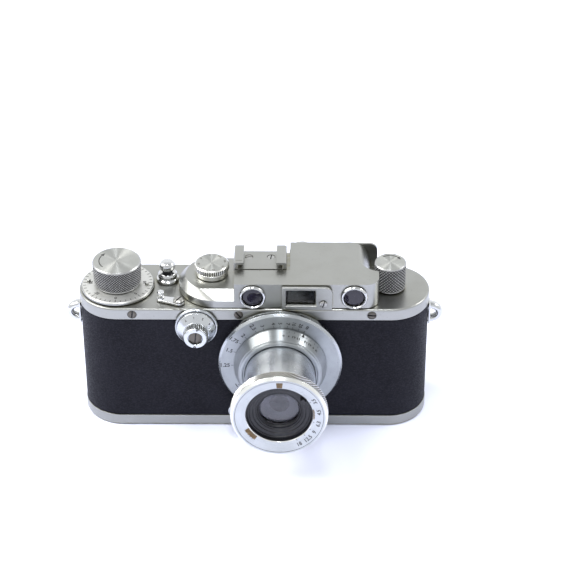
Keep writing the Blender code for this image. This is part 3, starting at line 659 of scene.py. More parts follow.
# Metals faced on a lathe: colour, stain, roughness, axis, streak and grain
TURNED = {
    "turned_chrome_up": ((0.44, 0.445, 0.425), (0.38, 0.385, 0.365), 0.34, 'Z', 0.95, 0.03),
    "turned_chrome_forward": ((0.36, 0.38, 0.39), (0.31, 0.325, 0.335), 0.34, 'Y', 0.9, 0.05),
    "lens_face_chrome": ((0.50, 0.52, 0.53), (0.43, 0.45, 0.46), 0.30, 'Y', 0.7, 0.08),
    "polished_tube": ((0.80, 0.82, 0.85), (0.62, 0.65, 0.68), 0.26, 'Y', 0.7, 0.08),
    "dial_chrome": ((0.66, 0.66, 0.64), (0.58, 0.58, 0.55), 0.46, 'Z', 0.4, 0.05),
}

# Knurled metals: tip, valley (dirt together with painted shade), roughness and the height below which the
# dark valley colour lies
KNURLED = {
    "knurled_chrome": ((0.40, 0.40, 0.40), (0.022, 0.021, 0.023), 0.30),
    "head_knurl_chrome": ((0.80, 0.80, 0.77), (0.050, 0.044, 0.026), 0.25, 0.42),
    "slow_dial_chrome": ((0.56, 0.58, 0.60), (0.045, 0.042, 0.030), 0.24, 0.28),
    "bright_knurled_chrome": ((0.80, 0.80, 0.76), (0.060, 0.055, 0.035), 0.26, 0.28),
}

# Paints and fillings: colour, roughness, metallic and speckle
PAINTS = {
    "black_metal": ((0.012, 0.012, 0.015), 0.42, 0.2),
    # The pitch black paint next is only used as the painted shade inside the viewfinder.
    "painted_shade_black": ((0.003, 0.003, 0.004), 0.85, 0.0, 0.1),
    "worn_brass": ((0.13, 0.085, 0.040), 0.5, 0.5, 0.9),
    "engraving_fill": ((0.020, 0.019, 0.018), 0.55),
    "faint_engraving_fill": ((0.16, 0.155, 0.14), 0.5, 0.5),
}

# Glasses: tint, roughness and how far they let light through
GLASSES = {
    # The dark glass lets no light through: its near-black tint is a painted shade of the dark inside
    # behind the glass, and its faint violet a painted reflection.
    "dark_glass": ((0.012, 0.010, 0.020), 0.03, 0.0),
    "lens_glass": ((0.86, 0.86, 0.95),),
    "clear_glass": ((0.80, 0.82, 0.86),),
}

MATERIALS = {"covering": vulcanite("vulcanite"), "curtain_cloth": curtain_cloth("curtain_cloth")}
for make, table in ((plated_metal, PLATED), (turned_metal, TURNED), (knurled_metal, KNURLED),
                    (paint, PAINTS), (glass, GLASSES)):
    for finish_name, settings in table.items():
        MATERIALS[finish_name] = make(finish_name, *settings)


# ---------------------------------------------------------------- pieces

def place_piece(name, shape, finish, body, matrix=None, second=None):
    """Turns a shape in millimetres into a piece that rides on a body. Second is a face test and finish."""
    if matrix:
        moved(shape, matrix)
    moved(shape, Matrix.Scale(MM, 4))
    bmesh.ops.recalc_face_normals(shape, faces=shape.faces)
    mesh = bpy.data.meshes.new(name)
    mesh.materials.append(MATERIALS[finish])
    if second:
        mesh.materials.append(MATERIALS[second[1]])
        for face in shape.faces:
            if second[0] and second[0](face):
                face.material_index = 1
    shape.to_mesh(mesh)
    shape.free()
    mesh.shade_smooth()
    mesh.set_sharp_from_angle(angle=SHARP_ANGLE)
    item = bpy.data.objects.new(name, mesh)
    bpy.context.scene.collection.objects.link(item)
    normals = item.modifiers.new("even_normals", 'WEIGHTED_NORMAL')
    normals.keep_sharp = True
    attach(item, body)
    return item


def remake(node, shape, finish=None, matrix=None, second=None, also=()):
    """A finished piece that stands for a CAD node and hides it, with that node's body, and the material of
    that node's slot unless a finish is given.
    """
    slot = SLOT_OF[node]
    item = place_piece(node + "_finished", shape, finish or slot, body_of(node), matrix, second)
    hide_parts(node, *also)
    return item


def remake_turned(node, facing, profile, steps, closed=False, finish=None, second=None):
    """A turned piece on the axis of the CAD node that it stands for."""
    place = stand(seat(node, facing)[0], facing)
    return remake(node, turn(profile, steps, closed), finish, place, second)


def remake_screw(node, facing, profile, width, depth, turn_angle, finish=None):
    head = slotted_head(profile, width, depth, turn_angle)
    return remake(node, head, finish, stand(seat(node, facing)[0], facing), SLOT_PAINTED_SHADE)


def mark(name, shapes, body, matrix, finish="engraving_fill"):
    return place_piece(name, merge(*shapes), finish, body, matrix)


# Second finish of screw heads: their slots painted black, a painted shade.
SLOT_PAINTED_SHADE = (None, "black_metal")


def slotted_head(profile, width, depth, turn_angle, steps=48):
    """Screw head with a straight slot, whose faces take the second material, black as a painted shade in
    the slot.

    The profile's last point is on the axis, at the top.
    """
    shape = turn(rounded(profile), steps)
    radius = max(point[0] for point in profile)
    top = profile[-1][1]
    slot = block((-2 * radius, -width / 2, top - depth), (2 * radius, width / 2, top + 1))
    shape = carve(shape, moved(slot, spin(turn_angle)))
    shape = soften(shape, 0.05, 2)
    for face in shape.faces:
        middle = spin(-turn_angle) @ face.calc_center_median()
        inside = middle.xy.length < 0.96 * radius and abs(middle.y) < width * 0.6
        sunk = top - depth - 0.01 < middle.z < top - 0.3 * depth
        # Faces deep in the slot take the black painted shade.
        face.material_index = 1 if inside and sunk else 0
    return shape


# ---------------------------------------------------------------- body

COVERING_THICKNESS = 0.55
DECK_EDGE = 0.95
BASE_EDGE = 1.1


def stadium(end_x, radius, steps=48):
    return arc((end_x, 0), radius, -90, 90, steps) + arc((-end_x, 0), radius, 90, 270, steps)


def stadium_loft(end_x, levels, closed=False):
    return loft([[(x, y, z) for x, y in stadium(end_x, r)] for r, z in levels], closed)


def build_body():
    low, high = box_mm("body_covering")
    radius = (high.y - low.y) / 2
    end_x = (high.x - low.x) / 2 - radius
    inner = radius - COVERING_THICKNESS
    ring = rounded([(inner, low.z), (radius, low.z, 0.15), (radius, high.z, 0.15), (inner, high.z)],
                   steps=3)
    covering = stadium_loft(end_x, ring, closed=True)
    for node in ("lens_mount_ring", "slow_dial_base"):
        centre, reach, _, _ = seat(node, "forward")
        hole = cylinder(reach * 0.66, 10, 20, 48)
        covering = carve(covering, moved(hole, stand(centre, "forward")))
    remake("body_covering", covering)

    low, high = box_mm("top_plate")
    radius = (high.y - low.y) / 2
    wall = radius - inner + 0.2
    skirt = rounded([(radius - wall, high.z - 1.2), (radius - wall, low.z), (radius, low.z, 0.2),
                     (radius, high.z, DECK_EDGE), (radius - 3.0, high.z)], steps=6)
    top = stadium_loft(end_x, skirt)
    for number in range(1, 6):
        facing = "forward" if number <= 3 else "backward"
        centre, head, start, face = seat(f"rim_screw_{number}", facing)
        sink = cylinder(head + 0.18, start - 0.4, face + 2, 32)
        top = carve(top, moved(sink, stand(centre, facing)))
        profile = [(0, start), (head, start), (head, face - 0.2, 0.1), (head * 0.6, face, 0.3), (0, face)]
        remake_screw(f"rim_screw_{number}", facing, profile, 0.55, 0.5, 35 + 47 * number, "dark_screw")
    remake("top_plate", top)
    build_base(end_x, radius, wall)


def build_base(end_x, radius, wall):
    low, high = box_mm("base_plate")
    pan = rounded([(radius - wall, low.z + 1.0), (radius - wall, high.z), (radius, high.z, 0.15),
                   (radius, low.z, BASE_EDGE), (radius - 3.0, low.z)], steps=6)
    base = stadium_loft(end_x, pan)
    for node, inset in (("tripod_bush", 1.2), ("lock_disc", 1.0)):
        centre, reach, _, _ = seat(node, "up")
        mouth = reach - inset
        hole = cylinder(mouth, -1, 3, 64)
        base = carve(base, moved(hole, stand(centre, "up")))
    remake("base_plate", base)


# ---------------------------------------------------------------- finder

PEDESTAL_STEP = 2.9
PEDESTAL_RISE = 5.7
PLATEAU_INSET = 2.6
PLATEAU_FRONT_INSET = 4.2
BLOCK_LEFT = 13.6
STRIP_LEFT = -7.2
STRIP_BACK = -4.8
SHOE_BED_TOP = 64.9
SHOE_BED_BACK = 8.2
SCOOP_LEFT = 39.2
SCOOP_BACK = 13.1
SCOOP_RADIUS = 10.3
SCOOP_Y = 4.5
SCOOP_WIDTH = 5.0
BLOCK_CORNER = 5.0
WING_RADIUS = 3.0
SHADE_BOX_DEPTH = 8.6
SHADE_BOX_WALL = 0.25
SILL_SPREAD = 0.75
FRAME_CORNER = 2.5


def pedestal_outline(centre_x, radius, front, back, right):
    first = 180 - math.degrees(math.asin(min(1.0, back / radius)))
    last = 180 + math.degrees(math.asin(min(1.0, front / radius)))
    return arc((centre_x, 0), radius, first, last, 48) + [(right, -front), (right, back)]


def build_finder_housing():
    low, high = box_mm("finder_housing")
    front = -low.y
    radius = front
    centre_x = low.x + radius
    right = BLOCK_LEFT + 0.4
    straight = pedestal_outline(centre_x, radius, front, high.y, right)
    plateau_front = front - PLATEAU_FRONT_INSET
    plateau = pedestal_outline(centre_x, radius - PLATEAU_INSET, plateau_front, plateau_front, right)
    housing = loft([
        [(x, y, low.z) for x, y in straight],
        [(x, y, low.z + PEDESTAL_STEP) for x, y in straight],
        [(x, y, low.z + PEDESTAL_RISE) for x, y in plateau],
    ])
    corner = BLOCK_CORNER
    outline = [(STRIP_LEFT, STRIP_BACK), (STRIP_LEFT, low.y)]
    outline += arc((high.x - corner, low.y + corner), corner, -90, 0, 24)
    outline += [(high.x, high.y), (BLOCK_LEFT, high.y), (BLOCK_LEFT, STRIP_BACK)]
    housing = fuse(housing, prism(outline, low.z, high.z))
    bed = block((STRIP_LEFT, STRIP_BACK - 1, low.z + 1), (BLOCK_LEFT + 1, SHOE_BED_BACK, SHOE_BED_TOP))
    housing = fuse(housing, bed)
    housing = carve(housing, scoop(low, high))
    wing = WING_RADIUS
    centre = (high.x - wing, high.z - wing)
    outside = arc(centre, wing, 0, 90, 12)
    outside += [(centre[0], high.z + wing), (high.x + wing, high.z + wing), (high.x + wing, centre[1])]
    beyond = prism(outside, -20, 1 - SCOOP_BACK)
    housing = carve(housing, moved(beyond, stand((0, 0), "forward")))
    housing = soften(housing, 0.38)
    for side in ("left", "right"):
        centre, reach, _, _ = seat(f"window_glass_{side}", "forward")
        hole = cylinder(reach + 0.3, 11, 16, 48)
        housing = carve(housing, moved(hole, stand(centre, "forward")))
    for node in ("viewfinder_eyepiece", "rangefinder_eyepiece"):
        centre, _, _, _ = seat(node, "backward")
        hole = cylinder(2.8, 11, 16, 48)
        housing = carve(housing, moved(hole, stand(centre, "backward")))
    glass_low, glass_high = box_mm("viewfinder_glass")
    tunnel = block((glass_low.x - 0.3, low.y - 1, glass_low.z - 0.3),
                   (glass_high.x + 0.3, low.y + 9, glass_high.z + 0.3))
    housing = carve(housing, tunnel)
    remake("finder_housing", housing)


def scoop(low, high):
    """The space beside the rewind knob: the block rolls off to the right and leaves a thin rear wing."""
    far = 60
    centre = (SCOOP_LEFT + SCOOP_RADIUS, SCOOP_Y)
    plan = arc(centre, SCOOP_RADIUS, 180, 300, 40)
    plan += [(far, plan[-1][1]), (far, SCOOP_BACK), (SCOOP_LEFT, SCOOP_BACK)]
    width = SCOOP_WIDTH
    base = low.z - 0.3
    height = high.z - base
    side = []
    for step in range(31):
        angle = math.pi / 2 * step / 30
        side.append((SCOOP_LEFT + width * math.sin(angle), base + height * math.cos(angle)))
    side += [(SCOOP_LEFT + width, base - 5), (far, base - 5), (far, base + 15), (SCOOP_LEFT, base + 15)]
    profile = moved(prism(side, -20, 20), stand((0, 0), "forward"))
    return carve(profile, prism(plan, base - 5, base + 15), 'INTERSECT')


def build_windows():
    for side in ("left", "right"):
        node = f"window_bezel_{side}"
        _, radius, low, high = seat(node, "forward")
        bore = radius - 1.1
        bezel = rounded([(bore, low), (radius, low, 0.05), (radius, low + 0.45, 0.25),
                         (radius - 0.30, high - 0.22, 0.3), (radius - 0.62, high, 0.16),
                         (radius - 0.85, high - 0.12, 0.1), (bore, high - 0.55, 0.1)], closed=True)
        remake_turned(node, "forward", bezel, 72, True)
        node = f"window_glass_{side}"
        _, radius, low, high = seat(node, "forward")
        pane = rounded([(0, low), (radius, low), (radius, high - 0.35, 0.15),
                        (radius * 0.6, high - 0.1, 2.0), (0, high)])
        remake_turned(node, "forward", pane, 64)


def opening(low, high, grow):
    """Corners, seen from the front, of a box that is wider by grow on every side."""
    return [(low.x - grow, low.z - grow), (high.x + grow, low.z - grow),
            (high.x + grow, high.z + grow), (low.x - grow, high.z + grow)]


def build_viewfinder():
    low, high = box_mm("viewfinder_frame")
    pane_low, pane_high = box_mm("viewfinder_glass")
    corner = FRAME_CORNER
    outline = [(low.x, low.z), (high.x, low.z)]
    outline += arc((high.x - corner, high.z - corner), corner, 0, 90, 12)
    outline.append((low.x, high.z))
    back = -high.y
    front = -low.y
    frame_plate = soften(prism(outline, back, front), 0.32, 3)
    sill = []
    for grow, height in ((0.3, back - 1), (0.3, back + 0.35), (SILL_SPREAD, front + 0.1)):
        sill.append([(x, z, height) for x, z in opening(pane_low, pane_high, grow)])
    frame_plate = soften(carve(frame_plate, loft(sill)), 0.06, 2)
    remake("viewfinder_frame", frame_plate, "satin_chrome", stand((0, 0), "forward"))
    pane = soften(block(pane_low, pane_high), 0.12, 2)
    remake("viewfinder_glass", pane, "clear_glass")

    # Behind the pane sits a flat black box: a painted shade standing for the dark inside of the finder.
    depth = SHADE_BOX_DEPTH
    mouth = opening(pane_low, pane_high, 0.25)
    middle = ((pane_low.x + pane_high.x) / 2, (pane_low.z + pane_high.z) / 2)
    inner = [(middle[0] + (x - middle[0]) * 0.94, middle[1] + (z - middle[1]) * 0.9) for x, z in mouth]
    start = pane_high.y + 0.1
    shade_box = loft([
        [(x, start, z) for x, z in mouth],
        [(x, start + depth - 1, z) for x, z in mouth],
        [(x, start + depth - 1 - SHADE_BOX_WALL, z) for x, z in inner],
        [(x, start, z) for x, z in inner],
    ], closed=True)
    back_wall = block((mouth[0][0], start + depth - 0.9, mouth[0][1]),
                      (mouth[2][0], start + depth - 0.4, mouth[2][1]))
    place_piece("viewfinder_shade_box", merge(shade_box, back_wall), "painted_shade_black", "camera_body")
    # Deep in the finder, an ocular of opaque dark glass: painted shade, with a faint violet painted
    # reflection.
    eye_centre, _, _, _ = seat("viewfinder_eyepiece", "backward")
    ocular = turn(rounded([(0, 0), (2.3, 0), (2.3, 0.8, 0.3), (1.9, 1.0, 0.1), (1.7, 0.7, 0.1),
                           (1.2, 1.0, 0.5), (0, 1.2)]), 48)
    ocular_place = Matrix.Translation((eye_centre[0] - 1.2, start + depth - 0.9, middle[1])) \
        @ Matrix.Rotation(math.pi / 2, 4, 'X')
    place_piece("viewfinder_ocular", ocular, "dark_glass", "camera_body", ocular_place)

    _, radius, low_face, high_face = seat("viewfinder_screw", "forward")
    profile = [(0, low_face), (radius, low_face), (radius, high_face - 0.35, 0.2),
               (radius * 0.7, high_face - 0.05, 0.4), (0, high_face)]
    remake_screw("viewfinder_screw", "forward", profile, 0.42, 0.4, 72)


def build_eyepieces():
    centre, radius, low, high = seat("viewfinder_eyepiece", "backward")
    finder = rounded([(2.5, low), (radius, low), (radius, high - 0.7, 0.3), (radius - 0.7, high, 0.3),
                      (3.0, high, 0.2), (2.5, high - 0.6, 0.1)], closed=True)
    remake_turned("viewfinder_eyepiece", "backward", finder, 72, True)
    centre_2, radius, low, high = seat("rangefinder_eyepiece", "backward")
    ranger = rounded([(2.5, low), (3.2, low), (3.2, high - 0.7), (radius, high - 0.7, 0.1),
                      (radius, high - 0.2, 0.25), (3.1, high, 0.3), (2.5, high - 0.5, 0.1)], closed=True)
    remake_turned("rangefinder_eyepiece", "backward", ranger, 72, True)
    # The eyepiece glasses are opaque dark glass: a painted shade of the camera's dark inside.
    for name, place in (("viewfinder_eye_glass", centre), ("rangefinder_eye_glass", centre_2)):
        pane = turn([(0, low - 0.6), (2.45, low - 0.6), (2.45, low + 0.3), (1.4, low + 0.55),
                     (0, low + 0.65)], 48)
        place_piece(name, pane, "dark_glass", "camera_body", stand(place, "backward"))
    lever_low, lever_high = box_mm("diopter_lever")
    ring_radius = centre_2[0] - lever_low.x
    ring = turn(rounded([(ring_radius - 1.1, lever_low.y), (ring_radius, lever_low.y, 0.15),
                         (ring_radius, lever_high.y, 0.2), (ring_radius - 1.1, lever_high.y, 0.1)],
                        closed=True),
                64, closed=True)
    tab = rounded([(ring_radius - 0.4, -1.0), (lever_high.x - centre_2[0], -1.0, 0.7),
                   (lever_high.x - centre_2[0], 1.0, 0.7), (ring_radius - 0.4, 1.0)], closed=True)
    lever = fuse(ring, soften(prism(tab, lever_low.y + 0.2, lever_high.y - 0.1), 0.15, 2))
    remake("diopter_lever", lever, matrix=stand(centre_2, "backward"))


def build_accessory_shoe():
    low, high = box_mm("accessory_shoe")
    fold = 1.2
    lip = high.z - 1.0
    floor = SHOE_BED_TOP + 1.2
    slot_left = low.x + 3.7
    slot_right = high.x - 3.8
    outline = rounded([
        (low.x, low.z), (high.x, low.z), (high.x, high.z, 0.85), (slot_right, high.z, 0.2),
        (slot_right, lip, 0.2), (high.x - fold, lip, 0.3), (high.x - fold, floor, 0.5),
        (low.x + fold, floor, 0.5), (low.x + fold, lip, 0.3), (slot_left, lip, 0.2),
        (slot_left, high.z, 0.2), (low.x, high.z, 0.85),
    ], closed=True, steps=4)
    shoe = moved(prism(outline, -high.y, -low.y), stand((0, 0), "forward"))
    shoe = soften(shoe, 0.12, 2)
    screws = []
    for x in (slot_left + 1.9, slot_right - 2.1):
        sink = cylinder(1.55, floor - 0.6, floor + 1, 32)
        shoe = carve(shoe, moved(sink, shift(x, 3.6)))
        profile = [(0, floor - 0.6), (1.42, floor - 0.6), (1.42, floor - 0.12, 0.08), (0, floor - 0.02)]
        screws.append(moved(slotted_head(profile, 0.4, 0.35, 25 + 9 * x), shift(x, 3.6)))
    remake("accessory_shoe", shoe)
    place_piece("shoe_screws", merge(*screws), "steel", "camera_body", None, SLOT_PAINTED_SHADE)
    middle = (slot_left + slot_right) / 2
    top = box_mm("finder_housing")[1].z
    ticks = [moved(stroke(1.0, 0.28), Matrix.Translation((middle, STRIP_BACK - 0.2, top))
                   @ spin(90)),
             moved(stroke(slot_left - low.x - 1.3, 0.25),
                   Matrix.Translation((low.x + 2.0, low.y + 1.6, high.z)))]
    mark("shoe_marks", ticks, "camera_body", None, "faint_engraving_fill")


# ---------------------------------------------------------------- controls on the deck

# Ridges and valleys round each knurled piece
WIND_KNURL = 2 * 54
REWIND_KNURL = 2 * 30
SPEED_KNURL = 2 * 48
SLOW_KNURL = 2 * 34
HEAD_KNURL = 2 * 100
COUNTER_STEPS = 40
SHUTTER_SPEEDS = ("Z", "20", "30", "40", "60", "100", "200", "500")
SLOW_SPEEDS = ("T", "1", "2", "4", "8", "20")
SLOW_SPEED_STEP = 32
LEVER_ANGLE = 164
LEVER_LENGTH = 7.1


def turned_face(axis):
    """Test for the faces that a lathe would face off: those that look along the axis."""
    return lambda face: abs(getattr(face.normal, axis)) > 0.85


FACED_UP = (turned_face("z"), "turned_chrome_up")


def build_wind():
    centre, radius, low, high = seat("wind_knob", "up")
    edge = radius - 0.8
    profile = [(0, low), (edge - 0.3, low), (edge - 0.3, low + 0.7), (radius - 0.5, low + 0.75)]
    profile += knurl(radius, low + 0.95, high - 0.75, 0.36, 1.05, flare=0.3)
    profile += rounded([(radius - 0.12, high - 0.62), (radius - 0.08, high - 0.5, 0.1),
                        (radius - 0.55, high, 0.2), (edge - 1.0, high)])
    profile += [(0, high)]
    remake_turned("wind_knob", "up", profile, WIND_KNURL, False, "knurled_chrome", FACED_UP)
    arrow = curved_arrow(radius * 0.71, high, 222, 150, 0.36)
    mark("wind_arrow", [arrow], "wind", stand(centre, "up"))

    _, dial, low, high = seat("counter_dial", "up")
    high -= 0.9
    profile = [(0, low), (dial - 0.25, low), (dial, low + 0.2)]
    profile += rounded([(dial, low + 0.3), (dial, high - 0.35, 0.15), (dial - 0.5, high, 0.25),
                        (dial - 3, high)])
    profile += [(0, high)]
    plate = turn(profile, 144)
    for degrees in (175, 355):
        pin = turn(rounded([(0, low + 0.5), (0.78, low + 0.5), (0.78, high + 0.75, 0.35),
                            (0, high + 0.9)]), 32)
        plate = fuse(plate, moved(pin, rim_spot(dial - 2.65, degrees)))
    remake("counter_dial", plate, "satin_chrome", stand(centre, "up"), (turned_face("z"), "dial_chrome"))
    marks = []
    for count in range(COUNTER_STEPS):
        degrees = 270 + 360 / COUNTER_STEPS * count
        length = 1.7 if count % 5 == 0 else 1.1
        marks.append(inscribe(tick(0, length, 0.24), degrees, dial - 0.7, high))
        if count % 5 == 0:
            marks.append(inscribe(lettering(str(count), 1.9), degrees, dial - 3.5, high))
    mark("counter_numerals", marks, "counter_dial", stand(centre, "up"))


def build_rewind():
    centre, radius, low, high = seat("rewind_knob", "up")
    profile = [(0, low), (radius - 0.45, low), (radius - 0.25, low + 0.2)]
    profile += knurl(radius, low + 0.5, high - 0.7, 0.42, 1.3)
    profile += rounded([(radius - 0.1, high - 0.55), (radius - 0.06, high - 0.45, 0.1),
                        (radius - 0.45, high, 0.2), (radius - 1.5, high)])
    profile += [(0, high)]
    remake_turned("rewind_knob", "up", profile, REWIND_KNURL, False, "knurled_chrome", FACED_UP)
    arrow = curved_arrow(radius * 0.70, high, 128, 45, 0.34)
    mark("rewind_arrow", [arrow], "rewind_knob", stand(centre, "up"))


def build_release():
    _, radius, low, high = seat("release_collar", "up")
    collar = rounded([(1.9, low), (radius, low, 0.05), (radius, low + 0.75, 0.3),
                      (radius - 0.85, low + 1.35, 0.4), (radius - 0.6, low + 1.9, 0.5),
                      (radius - 0.62, high - 0.75, 0.4), (radius - 1.25, high, 0.3), (1.9, high)],
                     closed=True)
    remake_turned("release_collar", "up", collar, 72, True)
    _, radius, low, high = seat("release_button", "up")
    button = [(0, low), (1.6, low)]
    button += rounded([(1.6, high - 3.15), (radius - 0.25, high - 3.1, 0.08),
                       (radius - 0.02, high - 2.5, 0.3), (radius - 0.02, high - 1.2, 0.8),
                       (radius - 0.85, high - 0.25, 0.8), (radius * 0.3, high - 0.01, 1.0), (0, high)],
                      steps=8)
    # The stem below the cap is painted black: a painted shade for the dark gap under the cap.
    painted_shade_stem = (lambda face: face.calc_center_median().z < (high - 3.0) * MM, "black_metal")
    remake_turned("release_button", "up", button, 72, second=painted_shade_stem)


def build_reversing_lever():
    joint = next(entry for entry in frame["joints"] if entry["name"] == "reversing_lever_turn")
    pivot = Vector(joint["pos_m"]) / MM
    low, high = box_mm("reversing_lever")
    reach = LEVER_LENGTH
    outline = arc((0, 0), 2.2, 90, 270, 24) + arc((reach, 0), 1.6, -90, 90, 24)
    arm = soften(prism(outline, low.z, low.z + 0.8), 0.18, 3)
    post = turn(rounded([(0, low.z + 0.3), (1.35, low.z + 0.3), (1.1, low.z + 1.2, 0.3),
                         (1.15, high.z - 1.6, 0.4), (1.5, high.z - 0.8, 0.3), (1.1, high.z - 0.1, 0.4),
                         (0, high.z)]), 48)
    arm = fuse(arm, moved(post, shift(reach, 0)))
    place = shift(pivot.x, pivot.y) @ spin(LEVER_ANGLE)
    remake("reversing_lever", arm, matrix=place)
    arrow = curved_arrow(4.0, box_mm("top_plate")[1].z, 205, 275, 0.22)
    mark("lever_arrow", [arrow], "camera_body", shift(pivot.x, pivot.y), "faint_engraving_fill")
    _, radius, low_z, high_z = seat("reversing_lever_screw", "up")
    profile = [(0, low_z + 1.0), (radius, low_z + 1.0), (radius, high_z - 0.45, 0.2),
               (radius * 0.65, high_z, 0.5), (0, high_z)]
    remake_screw("reversing_lever_screw", "up", profile, 0.5, 0.45, 55)


def build_speed_dial():
    centre, radius, low, high = seat("speed_dial", "up")
    skirt = radius - 0.45
    profile = [(0, low), (skirt - 0.1, low)]
    profile += rounded([(skirt, low + 0.1), (skirt, low + 1.75, 0.1), (skirt - 0.15, low + 1.95, 0.1),
                        (skirt - 0.15, low + 2.05)])
    profile += [(radius - 0.2, low + 2.15)]
    profile += knurl(radius, low + 2.25, high - 0.65, 0.34, 0.6, "straight")
    profile += rounded([(radius - 0.15, high - 0.5), (radius - 0.12, high - 0.4, 0.1),
                        (radius - 0.55, high, 0.3), (radius - 1.5, high)])
    profile += [(0, high)]
    remake_turned("speed_dial", "up", profile, SPEED_KNURL, False, "bright_knurled_chrome", FACED_UP)
    marks = []
    for i, speed in enumerate(SHUTTER_SPEEDS):
        marks.append(inscribe(lettering(speed, 1.15), 100 + 360 / len(SHUTTER_SPEEDS) * i, radius - 1.5,
                              high))
    mark("speed_numerals", marks, "speed_dial", stand(centre, "up"), "faint_engraving_fill")


def build_slow_dial():
    centre, radius, low, high = seat("slow_dial_base", "forward")
    place = stand(centre, "forward")
    ring = rounded([(2.8, low), (radius, low, 0.05), (radius, low + 0.75, 0.3),
                    (radius - 0.35, high, 0.25), (2.8, high)], closed=True)
    remake_turned("slow_dial_base", "forward", ring, 96, True, "lens_chrome")
    base_face = high
    _, cone, low, high = seat("slow_speed_dial", "forward")
    hub = cone - 2.75
    profile = [(0, low), (2.0, low), (2.0, base_face + 0.3), (cone - 0.15, base_face + 0.3)]
    profile += rounded([(cone, base_face + 0.42), (cone - 0.15, base_face + 1.0, 0.2),
                        (hub + 0.35, high - 4.15, 0.3), (hub - 0.1, high - 3.95, 0.1),
                        (hub - 0.12, high - 3.75)])
    profile += knurl(hub, high - 3.6, high - 0.75, 0.42, 0.8, "straight")
    profile += rounded([(hub - 0.25, high - 0.55), (hub - 0.22, high - 0.45, 0.1),
                        (hub - 0.55, high, 0.25), (2.85, high, 0.1), (2.7, high - 0.2, 0.1),
                        (2.7, high - 1.6)])
    profile += [(0, high - 1.6)]
    dial = turn(profile, SLOW_KNURL)
    for degrees, size in ((80, 0.55), (264, 0.7)):
        notch = cylinder(size, high - 0.7, high + 1, 24)
        dial = carve(dial, moved(notch, rim_spot(hub - 0.2, degrees)))
    remake("slow_speed_dial", dial, "slow_dial_chrome", place)
    _, head, low_z, high_z = seat("slow_speed_screw", "forward")
    profile = [(0, low_z), (head, low_z), (head, high_z - 0.2, 0.15), (head * 0.6, high_z, 0.4),
               (0, high_z)]
    remake_screw("slow_speed_screw", "forward", profile, 0.5, 0.5, 84, "dark_screw")
    slope = math.degrees(math.atan2(high - 4.15 - base_face - 1.0, cone - 0.15 - hub - 0.35))
    marks = []
    for i, speed in enumerate(SLOW_SPEEDS):
        degrees = 128 - SLOW_SPEED_STEP * i
        marks.append(inscribe(lettering(speed, 1.25), degrees, (cone + hub) / 2 + 0.1,
                              (base_face + 1.0 + high - 4.15) / 2, slope))
    mark("slow_speed_numerals", marks, "slow_dial", place)
    index = inscribe(tick(0, 0.65, 0.22), 90, radius - 0.05, base_face - 0.05, 12)
    mark("slow_speed_index", [index], "camera_body", place)


def build_strap_lugs():
    for side, direction in (("left", -1), ("right", 1)):
        node = f"strap_lug_{side}"
        low, high = box_mm(node)
        middle = (low + high) / 2
        foot = high.x if direction < 0 else low.x
        reach = high.x - low.x
        bar_radius = 1.4
        half = (high.z - low.z) / 2 - bar_radius
        path = []
        for step in range(40):
            a = math.tau * step / 40
            x = (reach - bar_radius) * math.cos(a) if math.cos(a) > 0 else 0.9 * math.cos(a)
            path.append((foot + direction * (x + 0.15), middle.z + half * math.sin(a)))
        lug = tube(path, bar_radius, 20, squash=(high.y - low.y) / 2 / bar_radius)
        if direction > 0:
            near, far = foot - 0.25, foot + 0.5
        else:
            near, far = foot - 0.5, foot + 0.25
        plate = soften(block((near, low.y - 0.4, low.z), (far, high.y + 0.4, high.z)), 0.22, 3)
        remake(node, merge(lug, plate))


# ---------------------------------------------------------------- lens

MOUNT_BORE = 14.4
MOUNT_STEP = 15.2
MOUNT_PLATE_BACK = 15.6
FLANGE_BORE = 14.5
RING_BORE = 13.5
CONE_FOOT = 17.5
CONE_TOP = 15.75
CONE_EDGE = 0.85
TUBE_BORE = 12.0
TUBE_RADIUS = 13.2
HEAD_BORE = 12.3
SCALE_RADIUS = 18.6
STOP_RADIUS = 14.75
STOP_TICK_RADIUS = 13.2
LINE_INNER = 16.25
LINE_OUTER = 16.4
DISTANCES = ("20", "10", "7", "5", "4", "3", "2.5", "2", "1.75", "1.5", "1.25", "1")
INFINITY_ANGLE = 60.0
SCALE_SWEEP = 150.0
FACE_SINK = 0.27
DEPTH_STOPS = ("3.5", "6.3", "9", "18")
APERTURE_STOPS = (("3.5", 29), ("4.5", 8), ("6.3", -13), ("9", -29), ("12.5", -44), ("18", -60))

# Places where the face has lost its plating: inner and outer radius, first and last angle
WORN_PLACES = ((12.7, 15.6, 85, 94), (12.6, 14.3, 207, 230), (12.55, 13.0, 353, 374))


def lens_piece(node, profile, steps=128, finish="lens_chrome", faced="turned_chrome_forward"):
    centre = seat("lens_head", "forward")[0]
    second = (turned_face("y"), faced) if faced else None
    return remake(node, turn(profile, steps, closed=True), finish, stand(centre, "forward"), second)


